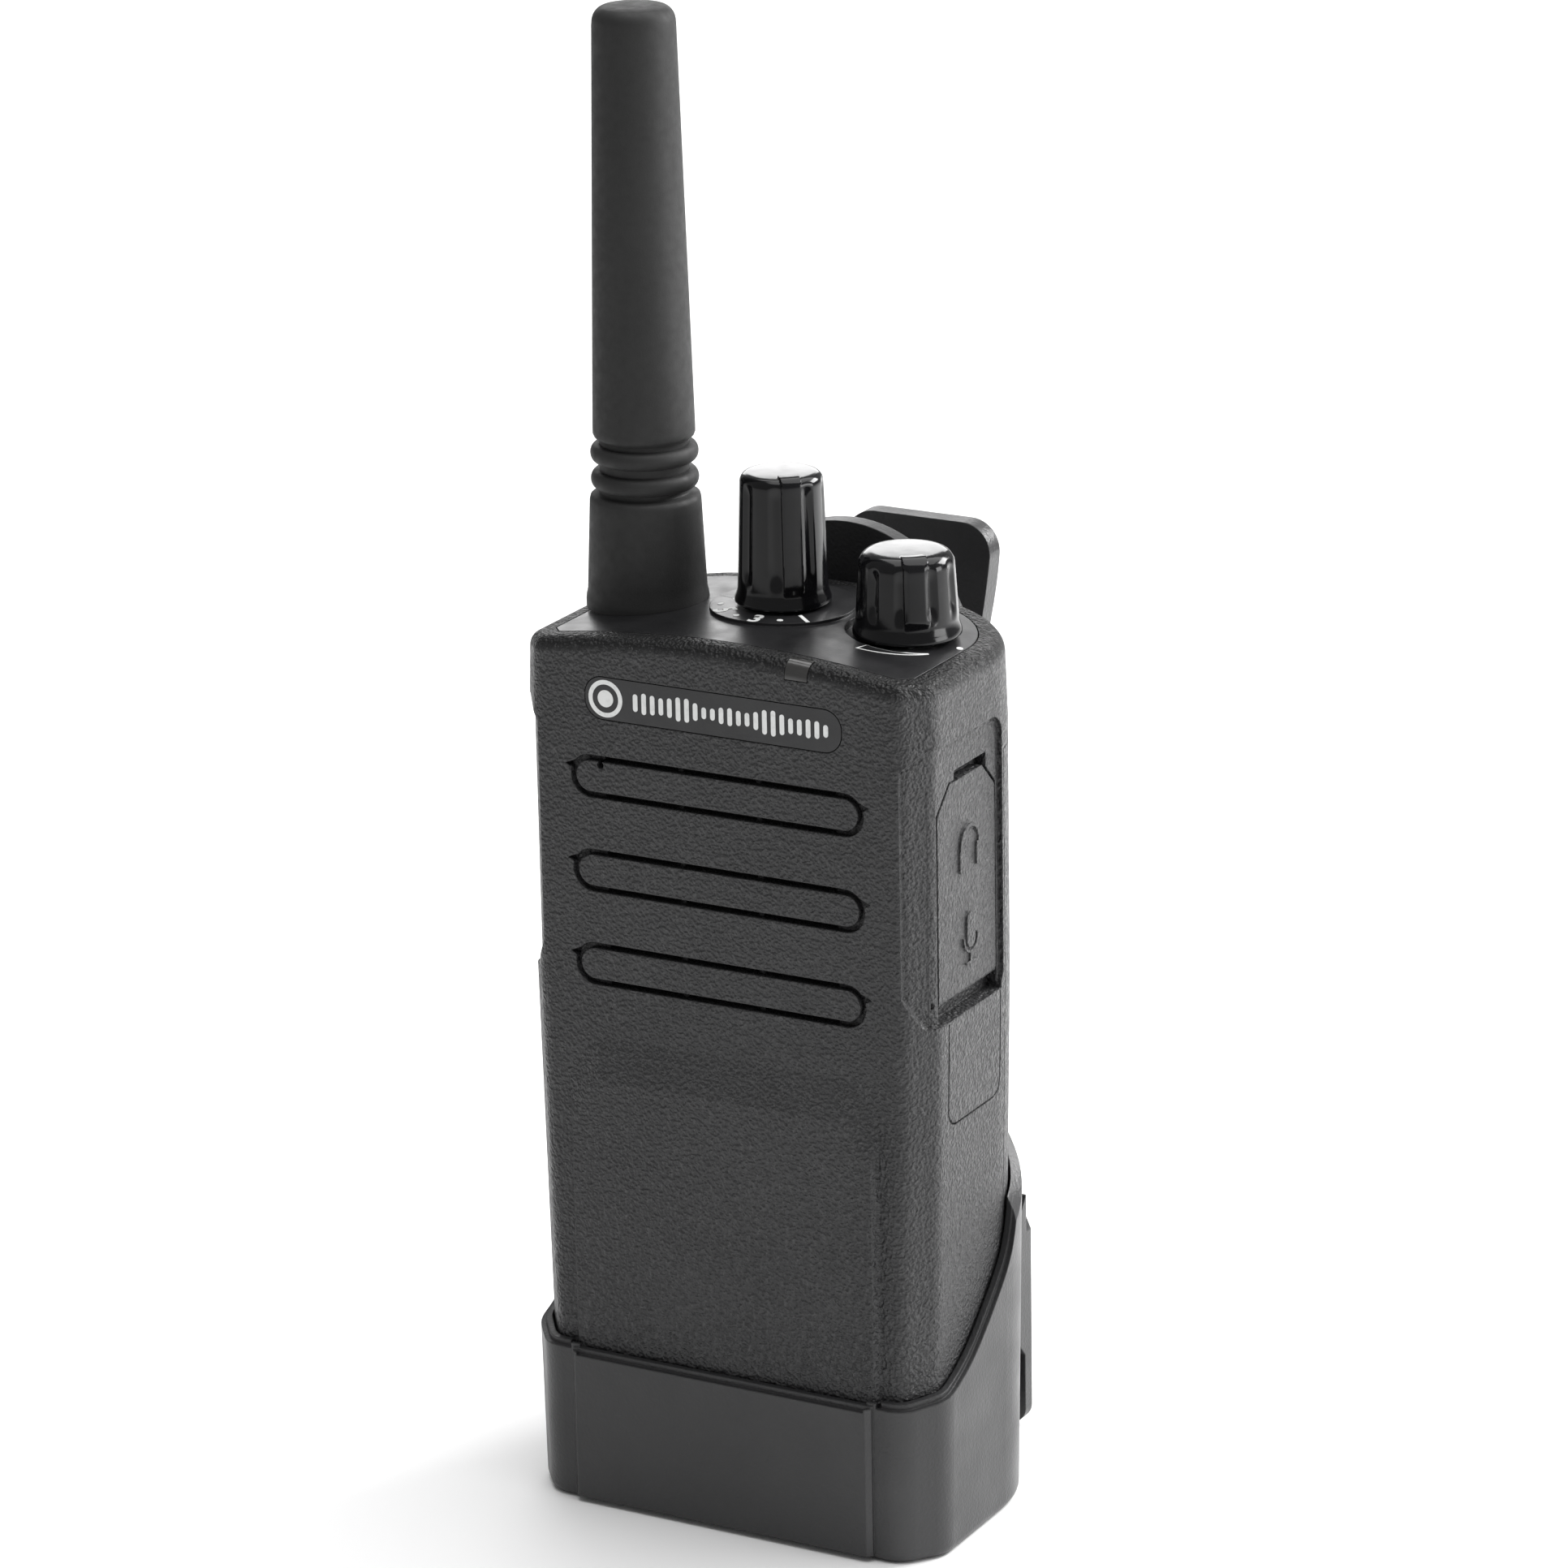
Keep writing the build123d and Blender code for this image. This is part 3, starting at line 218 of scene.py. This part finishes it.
def knob_plastic():
    """Polished black of the knobs."""
    shine = {"Specular_IOR_Level": 0.3, "Coat_Weight": 0.1, "Coat_Roughness": 0.06}
    f = Finish("knob_plastic", (0.003, 0.003, 0.0035), 0.16, **shine)
    f.bump(f.noise(1.5 * MM, 2.0), 0.006 * MM)
    f.tint(f.noise(6 * MM, 3.0), 0.4, 0.7, (0.005, 0.005, 0.006))
    f.polish(f.noise(2 * MM, 4.0), 0.3, 0.7, 0.10, 0.20)
    return f.material


def antenna_rubber():
    """Matte moulded rubber."""
    f = Finish("antenna_rubber", (0.018, 0.018, 0.018), 0.60, Specular_IOR_Level=0.35)
    f.bump(f.noise(0.22 * MM, 2.0), 0.010 * MM)
    f.bump(f.noise(5 * MM, 2.0), 0.05 * MM)
    f.tint(f.noise(7 * MM, 4.0, (1, 1, 0.3)), 0.4, 0.75, (0.023, 0.023, 0.023))
    f.polish(f.noise(1.2 * MM, 3.0), 0.3, 0.7, 0.54, 0.68)
    return f.material


def soft_rubber():
    """Black rubber of keys, seals and gaskets."""
    f = Finish("black_rubber", (0.018, 0.018, 0.018), 0.7)
    f.bump(f.noise(0.3 * MM, 2.0), 0.012 * MM)
    f.tint(f.noise(4 * MM, 3.0), 0.4, 0.7, (0.028, 0.028, 0.029))
    f.polish(f.noise(1.5 * MM, 3.0), 0.3, 0.7, 0.6, 0.78)
    return f.material


def holster_plastic():
    """Satin black of the holster and clip."""
    f = Finish("holster_plastic", (0.021, 0.021, 0.022), 0.38)
    f.soft_edges(0.25 * MM)
    f.bump(f.noise(0.40 * MM, 1.5), 0.05 * MM)
    f.bump(f.noise(18 * MM, 2.0), 0.08 * MM)
    f.tint(f.noise(22 * MM, 3.0), 0.4, 0.7, (0.024, 0.024, 0.025))
    f.polish(f.noise(6 * MM, 4.0), 0.3, 0.7, 0.34, 0.46)
    return f.material


def label_plastic():
    """Smooth plaque, a little finer than the housing round it."""
    f = Finish("label_plastic", (0.018, 0.018, 0.019), 0.42)
    f.bump(f.noise(0.24 * MM, 1.5), 0.012 * MM)
    f.tint(f.noise(5 * MM, 3.0), 0.4, 0.7, (0.023, 0.023, 0.024))
    f.polish(f.noise(2 * MM, 3.0), 0.3, 0.7, 0.38, 0.5)
    return f.material


def lamp_lens():
    """Smoky lamp window."""
    f = Finish("lamp_lens", (0.034, 0.033, 0.032), 0.2, Coat_Weight=0.4, Coat_Roughness=0.08)
    f.bump(f.noise(0.8 * MM, 2.0), 0.01 * MM)
    f.tint(f.noise(1.5 * MM, 2.0), 0.4, 0.7, (0.028, 0.027, 0.026))
    return f.material


def marking_white():
    """Printed white ink."""
    f = Finish("marking_white", (0.80, 0.81, 0.80), 0.55)
    f.bump(f.noise(0.2 * MM, 2.0), 0.006 * MM)
    f.tint(f.noise(0.6 * MM, 3.0), 0.5, 0.8, (0.66, 0.67, 0.66))
    return f.material


def metal(name, colour, roughness, brushed):
    """Metal with streaks along one axis and a little tarnish."""
    f = Finish(name, colour, roughness, Metallic=1.0)
    streaks = f.noise(0.25 * MM, 3.0, brushed)
    f.bump(streaks, 0.006 * MM)
    f.tint(f.noise(3 * MM, 4.0), 0.45, 0.8, tuple(0.75 * c for c in colour))
    f.polish(streaks, 0.3, 0.7, roughness * 0.8, roughness * 1.25)
    return f.material


def felt():
    """Black felt with short fibres."""
    f = Finish("felt", (0.012, 0.012, 0.012), 0.95, Sheen_Weight=0.4, Sheen_Roughness=0.5)
    fibres = f.noise(0.12 * MM, 3.0, (1, 1, 4))
    f.bump(fibres, 0.05 * MM)
    f.tint(fibres, 0.5, 0.75, (0.03, 0.03, 0.03))
    return f.material


def painted(name, colour, roughness):
    """Thin paint or wrap over a smooth part."""
    f = Finish(name, colour, roughness)
    f.bump(f.noise(0.8 * MM, 3.0), 0.012 * MM)
    f.tint(f.noise(5 * MM, 3.0), 0.4, 0.7, tuple(1.35 * c for c in colour))
    f.polish(f.noise(2 * MM, 3.0), 0.3, 0.7, roughness * 0.85, roughness * 1.2)
    return f.material


MATERIALS = {
    "housing_plastic": grained_plastic(),
    "deck_plastic": deck_plastic(),
    "knob_plastic": knob_plastic(),
    "antenna_rubber": antenna_rubber(),
    "black_rubber": soft_rubber(),
    "holster_plastic": holster_plastic(),
    "label_plastic": label_plastic(),
    "lamp_lens": lamp_lens(),
    "marking_white": marking_white(),
    "felt": felt(),
    "steel": metal("steel", (0.55, 0.55, 0.56), 0.3, (1, 1, 6)),
    "spring_steel": metal("spring_steel", (0.35, 0.35, 0.36), 0.35, (1, 6, 1)),
    "cast_alloy": metal("cast_alloy", (0.6, 0.6, 0.62), 0.5, (1, 1, 1)),
    "brass": metal("brass", (0.75, 0.58, 0.3), 0.3, (1, 1, 6)),
    "board_green": painted("board_green", (0.03, 0.16, 0.07), 0.35),
    "speaker_metal": painted("speaker_metal", (0.06, 0.06, 0.065), 0.45),
    "cell_wrap": painted("cell_wrap", (0.08, 0.13, 0.26), 0.3),
}


def dress_nodes():
    """Gives each CAD node the material of its slot in the record."""
    for part in frame["record"]["subparts"]:
        mesh = NODES[part["node"]].data
        mesh.materials.clear()
        mesh.materials.append(MATERIALS[part["material_slot"]])


# ---- pieces ----


def piece(name, bm, slot, body):
    """Makes a mesh object from a bmesh and fastens it to a body."""
    bmesh.ops.recalc_face_normals(bm, faces=bm.faces)
    mesh = bpy.data.meshes.new(name)
    bm.to_mesh(mesh)
    bm.free()
    made = bpy.data.objects.new(name, mesh)
    bpy.context.scene.collection.objects.link(made)
    mesh.materials.append(MATERIALS[slot])
    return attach(made, body)


def loop_solid(bm, outer, low, high, to_space):
    """A closed slab between two heights of a flat loop, placed by a function of (u, v, height)."""
    rings = [[bm.verts.new(to_space(u, v, h)) for u, v in outer] for h in (low, high)]
    bm.faces.new(rings[0][::-1])
    bm.faces.new(rings[1])
    join_rings(bm, rings[0], rings[1])


def ring_solid(bm, outer, inner, low, high, to_space):
    """A closed slab between an outer and an inner loop with the same number of points."""
    made = []
    for h in (low, high):
        for loop in (outer, inner):
            made.append([bm.verts.new(to_space(u, v, h)) for u, v in loop])
    for a, b in ((0, 1), (2, 3), (0, 2), (1, 3)):
        join_rings(bm, made[a], made[b])


def join_rings(bm, a, b):
    """Closes the band between two loops with the same number of points."""
    for k in range(len(a)):
        n = (k + 1) % len(a)
        bm.faces.new((a[k], a[n], b[n], b[k]))


def circle(u, v, radius, count=48):
    """Points round a centre, starting to its right."""
    turns = [math.tau * k / count for k in range(count)]
    return [(u + radius * math.cos(turn), v + radius * math.sin(turn)) for turn in turns]


def round_bar(u, v, wide, high, count=8):
    """An upright bar with round ends."""
    r = wide / 2
    straight = max(0.0, high / 2 - r)
    turns = [math.pi * k / count for k in range(count + 1)]
    top = [(u + r * math.cos(turn), v + straight + r * math.sin(turn)) for turn in turns]
    low = [(2 * u - a, 2 * v - b) for a, b in top]
    return top + low


def surface_height(node):
    """A function that gives the height of a node's top surface above a point."""
    mesh = NODES[node].data
    tree = BVHTree.FromPolygons([v.co for v in mesh.vertices], [p.vertices for p in mesh.polygons])

    def height(x, y):
        hit = tree.ray_cast(Vector((x, y, 1.0)), Vector((0, 0, -1)))[0]
        return hit.z

    return height


def label_marks():
    """Ring-and-dot emblem and a row of sound-wave bars on the front label."""
    low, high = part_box("label_plate")
    face = low.y
    middle = (low.z + high.z) / 2

    def on_label(u, v, h):
        return (u, face - h, v)

    bm = bmesh.new()
    emblem = (low.x + 2.75 * MM, middle)
    ring_solid(bm, circle(*emblem, 2.3 * MM), circle(*emblem, 1.75 * MM), -SUNK, INK, on_label)
    loop_solid(bm, circle(*emblem, 1.05 * MM), -SUNK, INK, on_label)
    piece("label_emblem", bm, "marking_white", "radio")
    bm = bmesh.new()
    first, last, count = low.x + 6.8 * MM, high.x - 2.0 * MM, 23
    for k in range(count):
        swell = 0.55 + 0.45 * math.sin(0.9 * k) * math.cos(0.37 * k + 0.6)
        high_mm = (0.9 + 2.3 * swell) * MM
        u = first + (last - first) * k / (count - 1)
        loop_solid(bm, round_bar(u, middle, 0.62 * MM, high_mm), -SUNK, INK, on_label)
    piece("label_sound_bars", bm, "marking_white", "radio")


def centre_of(node):
    low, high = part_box(node)
    return (low + high) / 2


def dial_marks():
    """Numbers and dots round the channel knob, on the raised dial ring."""
    height = surface_height("control_deck")
    hub = centre_of("channel_knob")
    radius = 7.5 * MM
    first, step = math.radians(48), math.radians(22.5)
    bm = bmesh.new()
    for k in range(8):
        turn = first - k * step
        x, y = hub.x + radius * math.sin(turn), hub.y - radius * math.cos(turn)

        def on_ring(u, v, h, x=x, y=y):
            return (x + u, y + v, height(x + u, y + v) + h)

        if k % 2:
            loop_solid(bm, circle(0, 0, 0.38 * MM, 20), -SUNK, INK, on_ring)
        else:
            add_digit(bm, str(k + 1), 2.0 * MM, turn, on_ring)
    piece("dial_marks", bm, "marking_white", "radio")


def add_digit(bm, text, size, turn, to_space):
    """A flat digit, turned with its place on the dial."""
    curve = bpy.data.curves.new("digit", "FONT")
    curve.body = text
    curve.size = size * 1.6
    curve.extrude = (INK + SUNK) / 2
    curve.offset = 0.08 * MM
    curve.align_x = "CENTER"
    curve.align_y = "CENTER"
    curve.resolution_u = 4
    holder = bpy.data.objects.new("digit", curve)
    bpy.context.scene.collection.objects.link(holder)
    bpy.context.view_layer.update()
    mesh = bpy.data.meshes.new_from_object(holder.evaluated_get(bpy.context.evaluated_depsgraph_get()))
    bpy.data.objects.remove(holder)
    bpy.data.curves.remove(curve)
    cos, sin = math.cos(turn), math.sin(turn)
    lift = (INK - SUNK) / 2
    for v in mesh.vertices:
        u, w = v.co.x, 1.2 * v.co.y
        v.co = to_space(u * cos - w * sin, u * sin + w * cos, v.co.z + lift)
    bm.from_mesh(mesh)
    bpy.data.meshes.remove(mesh)


def volume_scale():
    """Dot and outlined wedge beside the volume knob."""
    height = surface_height("control_deck")
    hub = centre_of("volume_knob")

    def on_deck(u, v, h):
        x, y = hub.x + u, hub.y + v
        return (x, y, height(x, y) + h)

    def polar(radius, degrees):
        return (radius * math.sin(math.radians(degrees)), -radius * math.cos(math.radians(degrees)))

    bm = bmesh.new()
    loop_solid(bm, circle(*polar(7.35 * MM, 84), 0.4 * MM, 20), -SUNK, INK, on_deck)
    count = 40
    start, end = -13.0, 47.0
    line = 0.2 * MM
    inner_r = 7.3 * MM

    def wedge(inset):
        angles = [start + (end - start) * k / count for k in range(count + 1)]
        low = [polar(inner_r + inset, a) for a in angles]
        high = []
        for a in angles:
            share = (end - a) / (end - start)
            high.append(polar(inner_r + max(inset * 1.05, 0.28 * MM + 1.75 * MM * share - inset), a))
        return low + high[::-1]

    ring_solid(bm, wedge(0.0), pulled_in(wedge(line)), -SUNK, INK, on_deck)
    piece("volume_scale", bm, "marking_white", "radio")


def pulled_in(inner):
    """Pulls the ends of the wedge's inner outline away from its outer one."""
    count = len(inner) // 2
    made = list(inner)
    for end, beside in ((0, 1), (count - 1, count - 2), (count, count + 1), (-1, -2)):
        made[end] = lerp(inner[end], inner[beside], 0.9)
    return made


def lerp(p, q, share):
    """The point that lies a share of the way from p to q."""
    return tuple(m + (n - m) * share for m, n in zip(p, q))


def spun(bm, loop, count, shape):
    """A closed body of revolution; shape turns an angle and a (radius, height) into a point."""
    rings = []
    for radius, height in loop:
        steps = 1 if radius == 0 else count
        rings.append([bm.verts.new(shape(math.tau * k / count, radius, height)) for k in range(steps)])
    for a, b in zip(rings, rings[1:]):
        for k in range(count):
            n = (k + 1) % count
            corners = [a[k % len(a)], a[n % len(a)], b[n % len(b)], b[k % len(b)]]
            bm.faces.new(list(dict.fromkeys(corners)))


def smooth(made, sharp_degrees=50):
    """Smooth shading, with creases kept at sharp edges."""
    mesh = made.data
    mesh.polygons.foreach_set("use_smooth", [True] * len(mesh.polygons))
    mesh.set_sharp_from_angle(angle=math.radians(sharp_degrees))
    return made


def eased(value, low, high):
    """Runs softly from 0 to 1 between two values."""
    t = min(1.0, max(0.0, (value - low) / (high - low)))
    return t * t * (3 - 2 * t)


def knob_cap(node, body, rim, flutes, pointer_degrees, pointer_half, cavity):
    """Moulded knob with a flared foot, soft-ended flutes, a rounded head and a raised pointer."""
    low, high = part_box(node)
    hub = (low + high) / 2
    flare = (high.x - low.x) / 2
    tall = high.z - low.z - 0.2 * MM
    foot, head = flare - 0.38 * MM, flare - 0.80 * MM
    pointer = math.radians(pointer_degrees)
    loop = [(0, tall)]
    for k in range(1, 13):
        loop.append(((head - rim) * k / 12, tall - 0.10 * MM * (k / 12) ** 2))
    for k in range(1, 11):
        turn = math.pi / 2 * k / 10
        loop.append((head - rim + rim * math.sin(turn), tall - 0.10 * MM - rim * (1 - math.cos(turn))))
    steps = 40
    start = tall - 0.10 * MM - rim
    for k in range(1, steps + 1):
        z = start + (1.9 * MM - start) * k / steps
        loop.append((head + (foot - head) * (start - z) / (start - 1.9 * MM), z))
    for share in (0.25, 0.5, 0.75, 1.0):
        loop.append((foot + (flare - foot) * share**1.6, (1.9 - 1.35 * share) * MM))
    loop += [(flare, 0.18 * MM), (flare - 0.18 * MM, 0)]
    outer = len(loop)
    bore = 2.02 * MM
    loop += [(cavity, 0), (cavity, 2.4 * MM), (bore, 2.4 * MM), (bore, tall - 2.0 * MM), (0, tall - 2.0 * MM)]
    inside = set(loop[outer:])

    def shape(turn, radius, height):
        if (radius, height) not in inside and radius > head * 0.5:
            swing = (turn - pointer) * flutes
            valley = max(0.0, -math.cos(swing)) ** 1.1
            rising = eased(height, 2.0 * MM, 4.6 * MM)
            fading = 1 - eased(height, tall - rim - 1.2 * MM, tall - 0.2 * rim)
            radius -= 0.40 * MM * valley * (rising * fading)
            away = abs((turn - pointer + math.pi) % math.tau - math.pi) * max(radius, 1e-6)
            ridge = 1 - eased(away, pointer_half - 0.08 * MM, pointer_half + 0.08 * MM)
            reach = eased(radius, head - 2.1 * MM, head - 1.9 * MM)
            if height > start - 1.2 * MM:
                height += 0.30 * MM * ridge * reach * eased(height, start - 1.2 * MM, start + 0.6 * MM)
            radius += 0.30 * MM * ridge * eased(height, 1.8 * MM, 3.0 * MM) * reach
        x, y = radius * math.sin(turn), -radius * math.cos(turn)
        return (hub.x + x, hub.y + y, low.z + height)

    bm = bmesh.new()
    spun(bm, loop, 360, shape)
    made = smooth(piece(node + "_cap", bm, "knob_plastic", body), 40)
    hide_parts(node)


def antenna_cover():
    """Rubber antenna: cone foot, two round flex rings and a slim tapered whip."""
    low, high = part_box("antenna_sheath")
    hub = (low + high) / 2
    foot_r = (high.x - low.x) / 2
    foot_z = high.z - ANTENNA_HIGH
    tip = high.z - foot_z
    ring = 1.1 * MM
    loop = [(0, tip)]
    for k in range(1, 13):
        turn = math.pi / 2 * k / 12
        loop.append((3.3 * MM + 1.65 * MM * math.sin(turn), tip - 1.9 * MM * (1 - math.cos(turn))))
    loop[1] = (2.2 * MM, tip)
    whip_low, whip_high = 21.9 * MM, tip - 2.2 * MM
    for k in range(25):
        share = k / 24
        loop.append(((4.98 + 1.15 * share) * MM, whip_high + (whip_low - whip_high) * share))
    loop += [(6.12 * MM, 21.3 * MM), (5.98 * MM, 20.95 * MM), (5.65 * MM, 20.7 * MM), (5.42 * MM, 20.45 * MM)]
    for z in RING_Z:
        for k in range(13):
            turn = math.pi * k / 12
            loop.append((5.42 * MM + 1.05 * MM * math.sin(turn) ** 0.8, z + ring * math.cos(turn)))
    loop += [(5.44 * MM, 14.2 * MM), (5.6 * MM, 13.95 * MM), (6.2 * MM, 13.85 * MM), (6.55 * MM, 13.6 * MM)]
    loop += [(6.68 * MM, 13.1 * MM)]
    for k in range(1, 11):
        share = k / 10
        loop.append(((6.68 + 0.5 * share) * MM, (13.1 - 11.0 * share) * MM))
    loop += [(foot_r - 0.06 * MM, 1.4 * MM), (foot_r, 0.9 * MM), (foot_r, 0)]
    bore, seat, bore_top = 1.42 * MM, 4.0 * MM, tip - 8 * MM
    loop += [(seat, 0), (seat, 3 * MM), (bore, 3 * MM), (bore, bore_top), (0, bore_top)]
    crown_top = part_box("front_housing")[1].z

    def shape(turn, radius, height):
        x, y = hub.x + radius * math.sin(turn), hub.y - radius * math.cos(turn)
        floor = crown_top - CROWN_R + math.sqrt(CROWN_R**2 - x * x) + 0.01 * MM
        return (x, y, max(foot_z + height, floor))

    bm = bmesh.new()
    spun(bm, loop, 96, shape)
    made = smooth(piece("antenna_rubber_cover", bm, "antenna_rubber", "radio"), 60)
    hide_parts("antenna_sheath")


def latch_wave():
    """Wave spring above the battery latch, in its rest shape; the mesh does not flatten as the latch slides
    up.
    """
    low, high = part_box("latch_spring")
    thick = 0.35 * MM
    swing = (high.z - low.z - thick) / 2
    count, waves = 64, 2
    upper, lower = [], []
    for k in range(count + 1):
        x = low.x + (high.x - low.x) * k / count
        z = (low.z + high.z) / 2 - swing * math.cos(math.tau * waves * k / count)
        upper.append((x, z + thick / 2))
        lower.append((x, z - thick / 2))
    bm = bmesh.new()
    loop_solid(bm, lower + upper[::-1], low.y, high.y, lambda u, v, h: (u, h, v))
    made = smooth(piece("latch_wave_spring", bm, "spring_steel", "radio"), 50)
    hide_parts("latch_spring")
    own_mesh(made)


def clip_coil():
    """Torsion spring wound on the clip's pin, with one leg on the clip base."""
    low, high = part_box("clip_spring")
    pin_low, pin_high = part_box("clip_pin")
    pin = (pin_low + pin_high) / 2
    wire = 0.3 * MM
    coil = 1.58 * MM
    turns, count = 7, 7 * 24
    reach = 4.2 * MM - wire
    path = []
    for k in range(count + 1):
        turn = math.tau * turns * k / count
        x = -reach + 2 * reach * k / count
        path.append(Vector((pin.x + x, pin.y - coil * math.cos(turn), pin.z + coil * math.sin(turn))))
    leg = path[-1]
    path += [Vector((leg.x, leg.y, leg.z + 1.5 * MM)), Vector((leg.x, low.y + wire, high.z - wire))]
    made = smooth(piece("clip_coil_spring", swept(path, wire), "spring_steel", "clip"), 60)
    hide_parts("clip_spring")


def swept(path, radius, sides=10):
    """A round wire along a path, with closed ends."""
    bm = bmesh.new()
    rings = []
    side = Vector((1, 0, 0))
    for k, at in enumerate(path):
        ahead = (path[min(k + 1, len(path) - 1)] - path[max(k - 1, 0)]).normalized()
        side = (side - ahead * side.dot(ahead)).normalized()
        other = ahead.cross(side)
        ring = []
        for n in range(sides):
            turn = math.tau * n / sides
            ring.append(bm.verts.new(at + (side * math.cos(turn) + other * math.sin(turn)) * radius))
        rings.append(ring)
    for a, b in zip(rings, rings[1:]):
        join_rings(bm, a, b)
    bm.faces.new(rings[0][::-1])
    bm.faces.new(rings[-1])
    return bm


# ---- studio ----


def add_area(name, place, target, size, power):
    """A rectangular soft light aimed at a point."""
    light = bpy.data.lights.new(name, "AREA")
    light.shape = "RECTANGLE"
    light.size, light.size_y = size
    light.energy = power
    holder = bpy.data.objects.new(name, light)
    holder.location = place
    holder.rotation_euler = (Vector(target) - Vector(place)).to_track_quat("-Z", "Y").to_euler()
    bpy.context.scene.collection.objects.link(holder)


def studio():
    """Pale floor, soft panels and a light surround."""
    bm = bmesh.new()
    loop = circle(0, 0, 4.0, 96)
    bm.faces.new([bm.verts.new((u, v, 0)) for u, v in loop])
    mesh = bpy.data.meshes.new("floor")
    bm.to_mesh(mesh)
    bm.free()
    floor = bpy.data.objects.new("floor", mesh)
    bpy.context.scene.collection.objects.link(floor)
    pale = Finish("floor_pale", (0.93, 0.93, 0.93), 0.7)
    pale.tint(pale.noise(0.3, 2.0), 0.4, 0.7, (0.95, 0.95, 0.95))
    mesh.materials.append(pale.material)

    world = bpy.data.worlds.new("surround")
    world.use_nodes = True
    tree = world.node_tree
    background = tree.nodes["Background"]
    background.inputs["Color"].default_value = (1, 1, 1, 1)
    path = tree.nodes.new("ShaderNodeLightPath")
    level = tree.nodes.new("ShaderNodeMapRange")
    level.inputs["To Min"].default_value = SURROUND
    level.inputs["To Max"].default_value = 1.0
    tree.links.new(path.outputs["Is Camera Ray"], level.inputs["Value"])
    tree.links.new(level.outputs["Result"], background.inputs["Strength"])
    bpy.context.scene.world = world
    for name, place, target, size, power in PANELS:
        add_area(name, place, target, size, power)


def camera():
    """The camera, turned about its target and then about its own line of sight."""
    a, e, r = CAMERA_AZIMUTH, CAMERA_ELEVATION, CAMERA_ROLL
    forward = Vector((-math.sin(a) * math.cos(e), math.cos(a) * math.cos(e), -math.sin(e)))
    level = Vector((math.cos(a), math.sin(a), 0))
    upright = level.cross(forward)
    right = level * math.cos(r) + upright * math.sin(r)
    up = upright * math.cos(r) - level * math.sin(r)
    data = bpy.data.cameras.new("camera")
    data.lens = CAMERA_LENS
    data.sensor_width = SENSOR
    data.clip_start, data.clip_end = 0.01, 20
    holder = bpy.data.objects.new("camera", data)
    turned = Matrix((right, up, -forward)).transposed().to_4x4()
    holder.matrix_world = Matrix.Translation(CAMERA_TARGET - forward * CAMERA_DISTANCE) @ turned
    bpy.context.scene.collection.objects.link(holder)
    bpy.context.scene.camera = holder


dress_nodes()
label_marks()
dial_marks()
volume_scale()
knob_cap("channel_knob", "channel_control", 1.15 * MM, 8, 43, 1.2 * MM, 4.6 * MM)
knob_cap("volume_knob", "volume_control_knob", 1.7 * MM, 10, 39, 1.45 * MM, 4.7 * MM)
antenna_cover()
latch_wave()
clip_coil()
studio()
camera()
bpy.context.scene.view_settings.view_transform = "Standard"
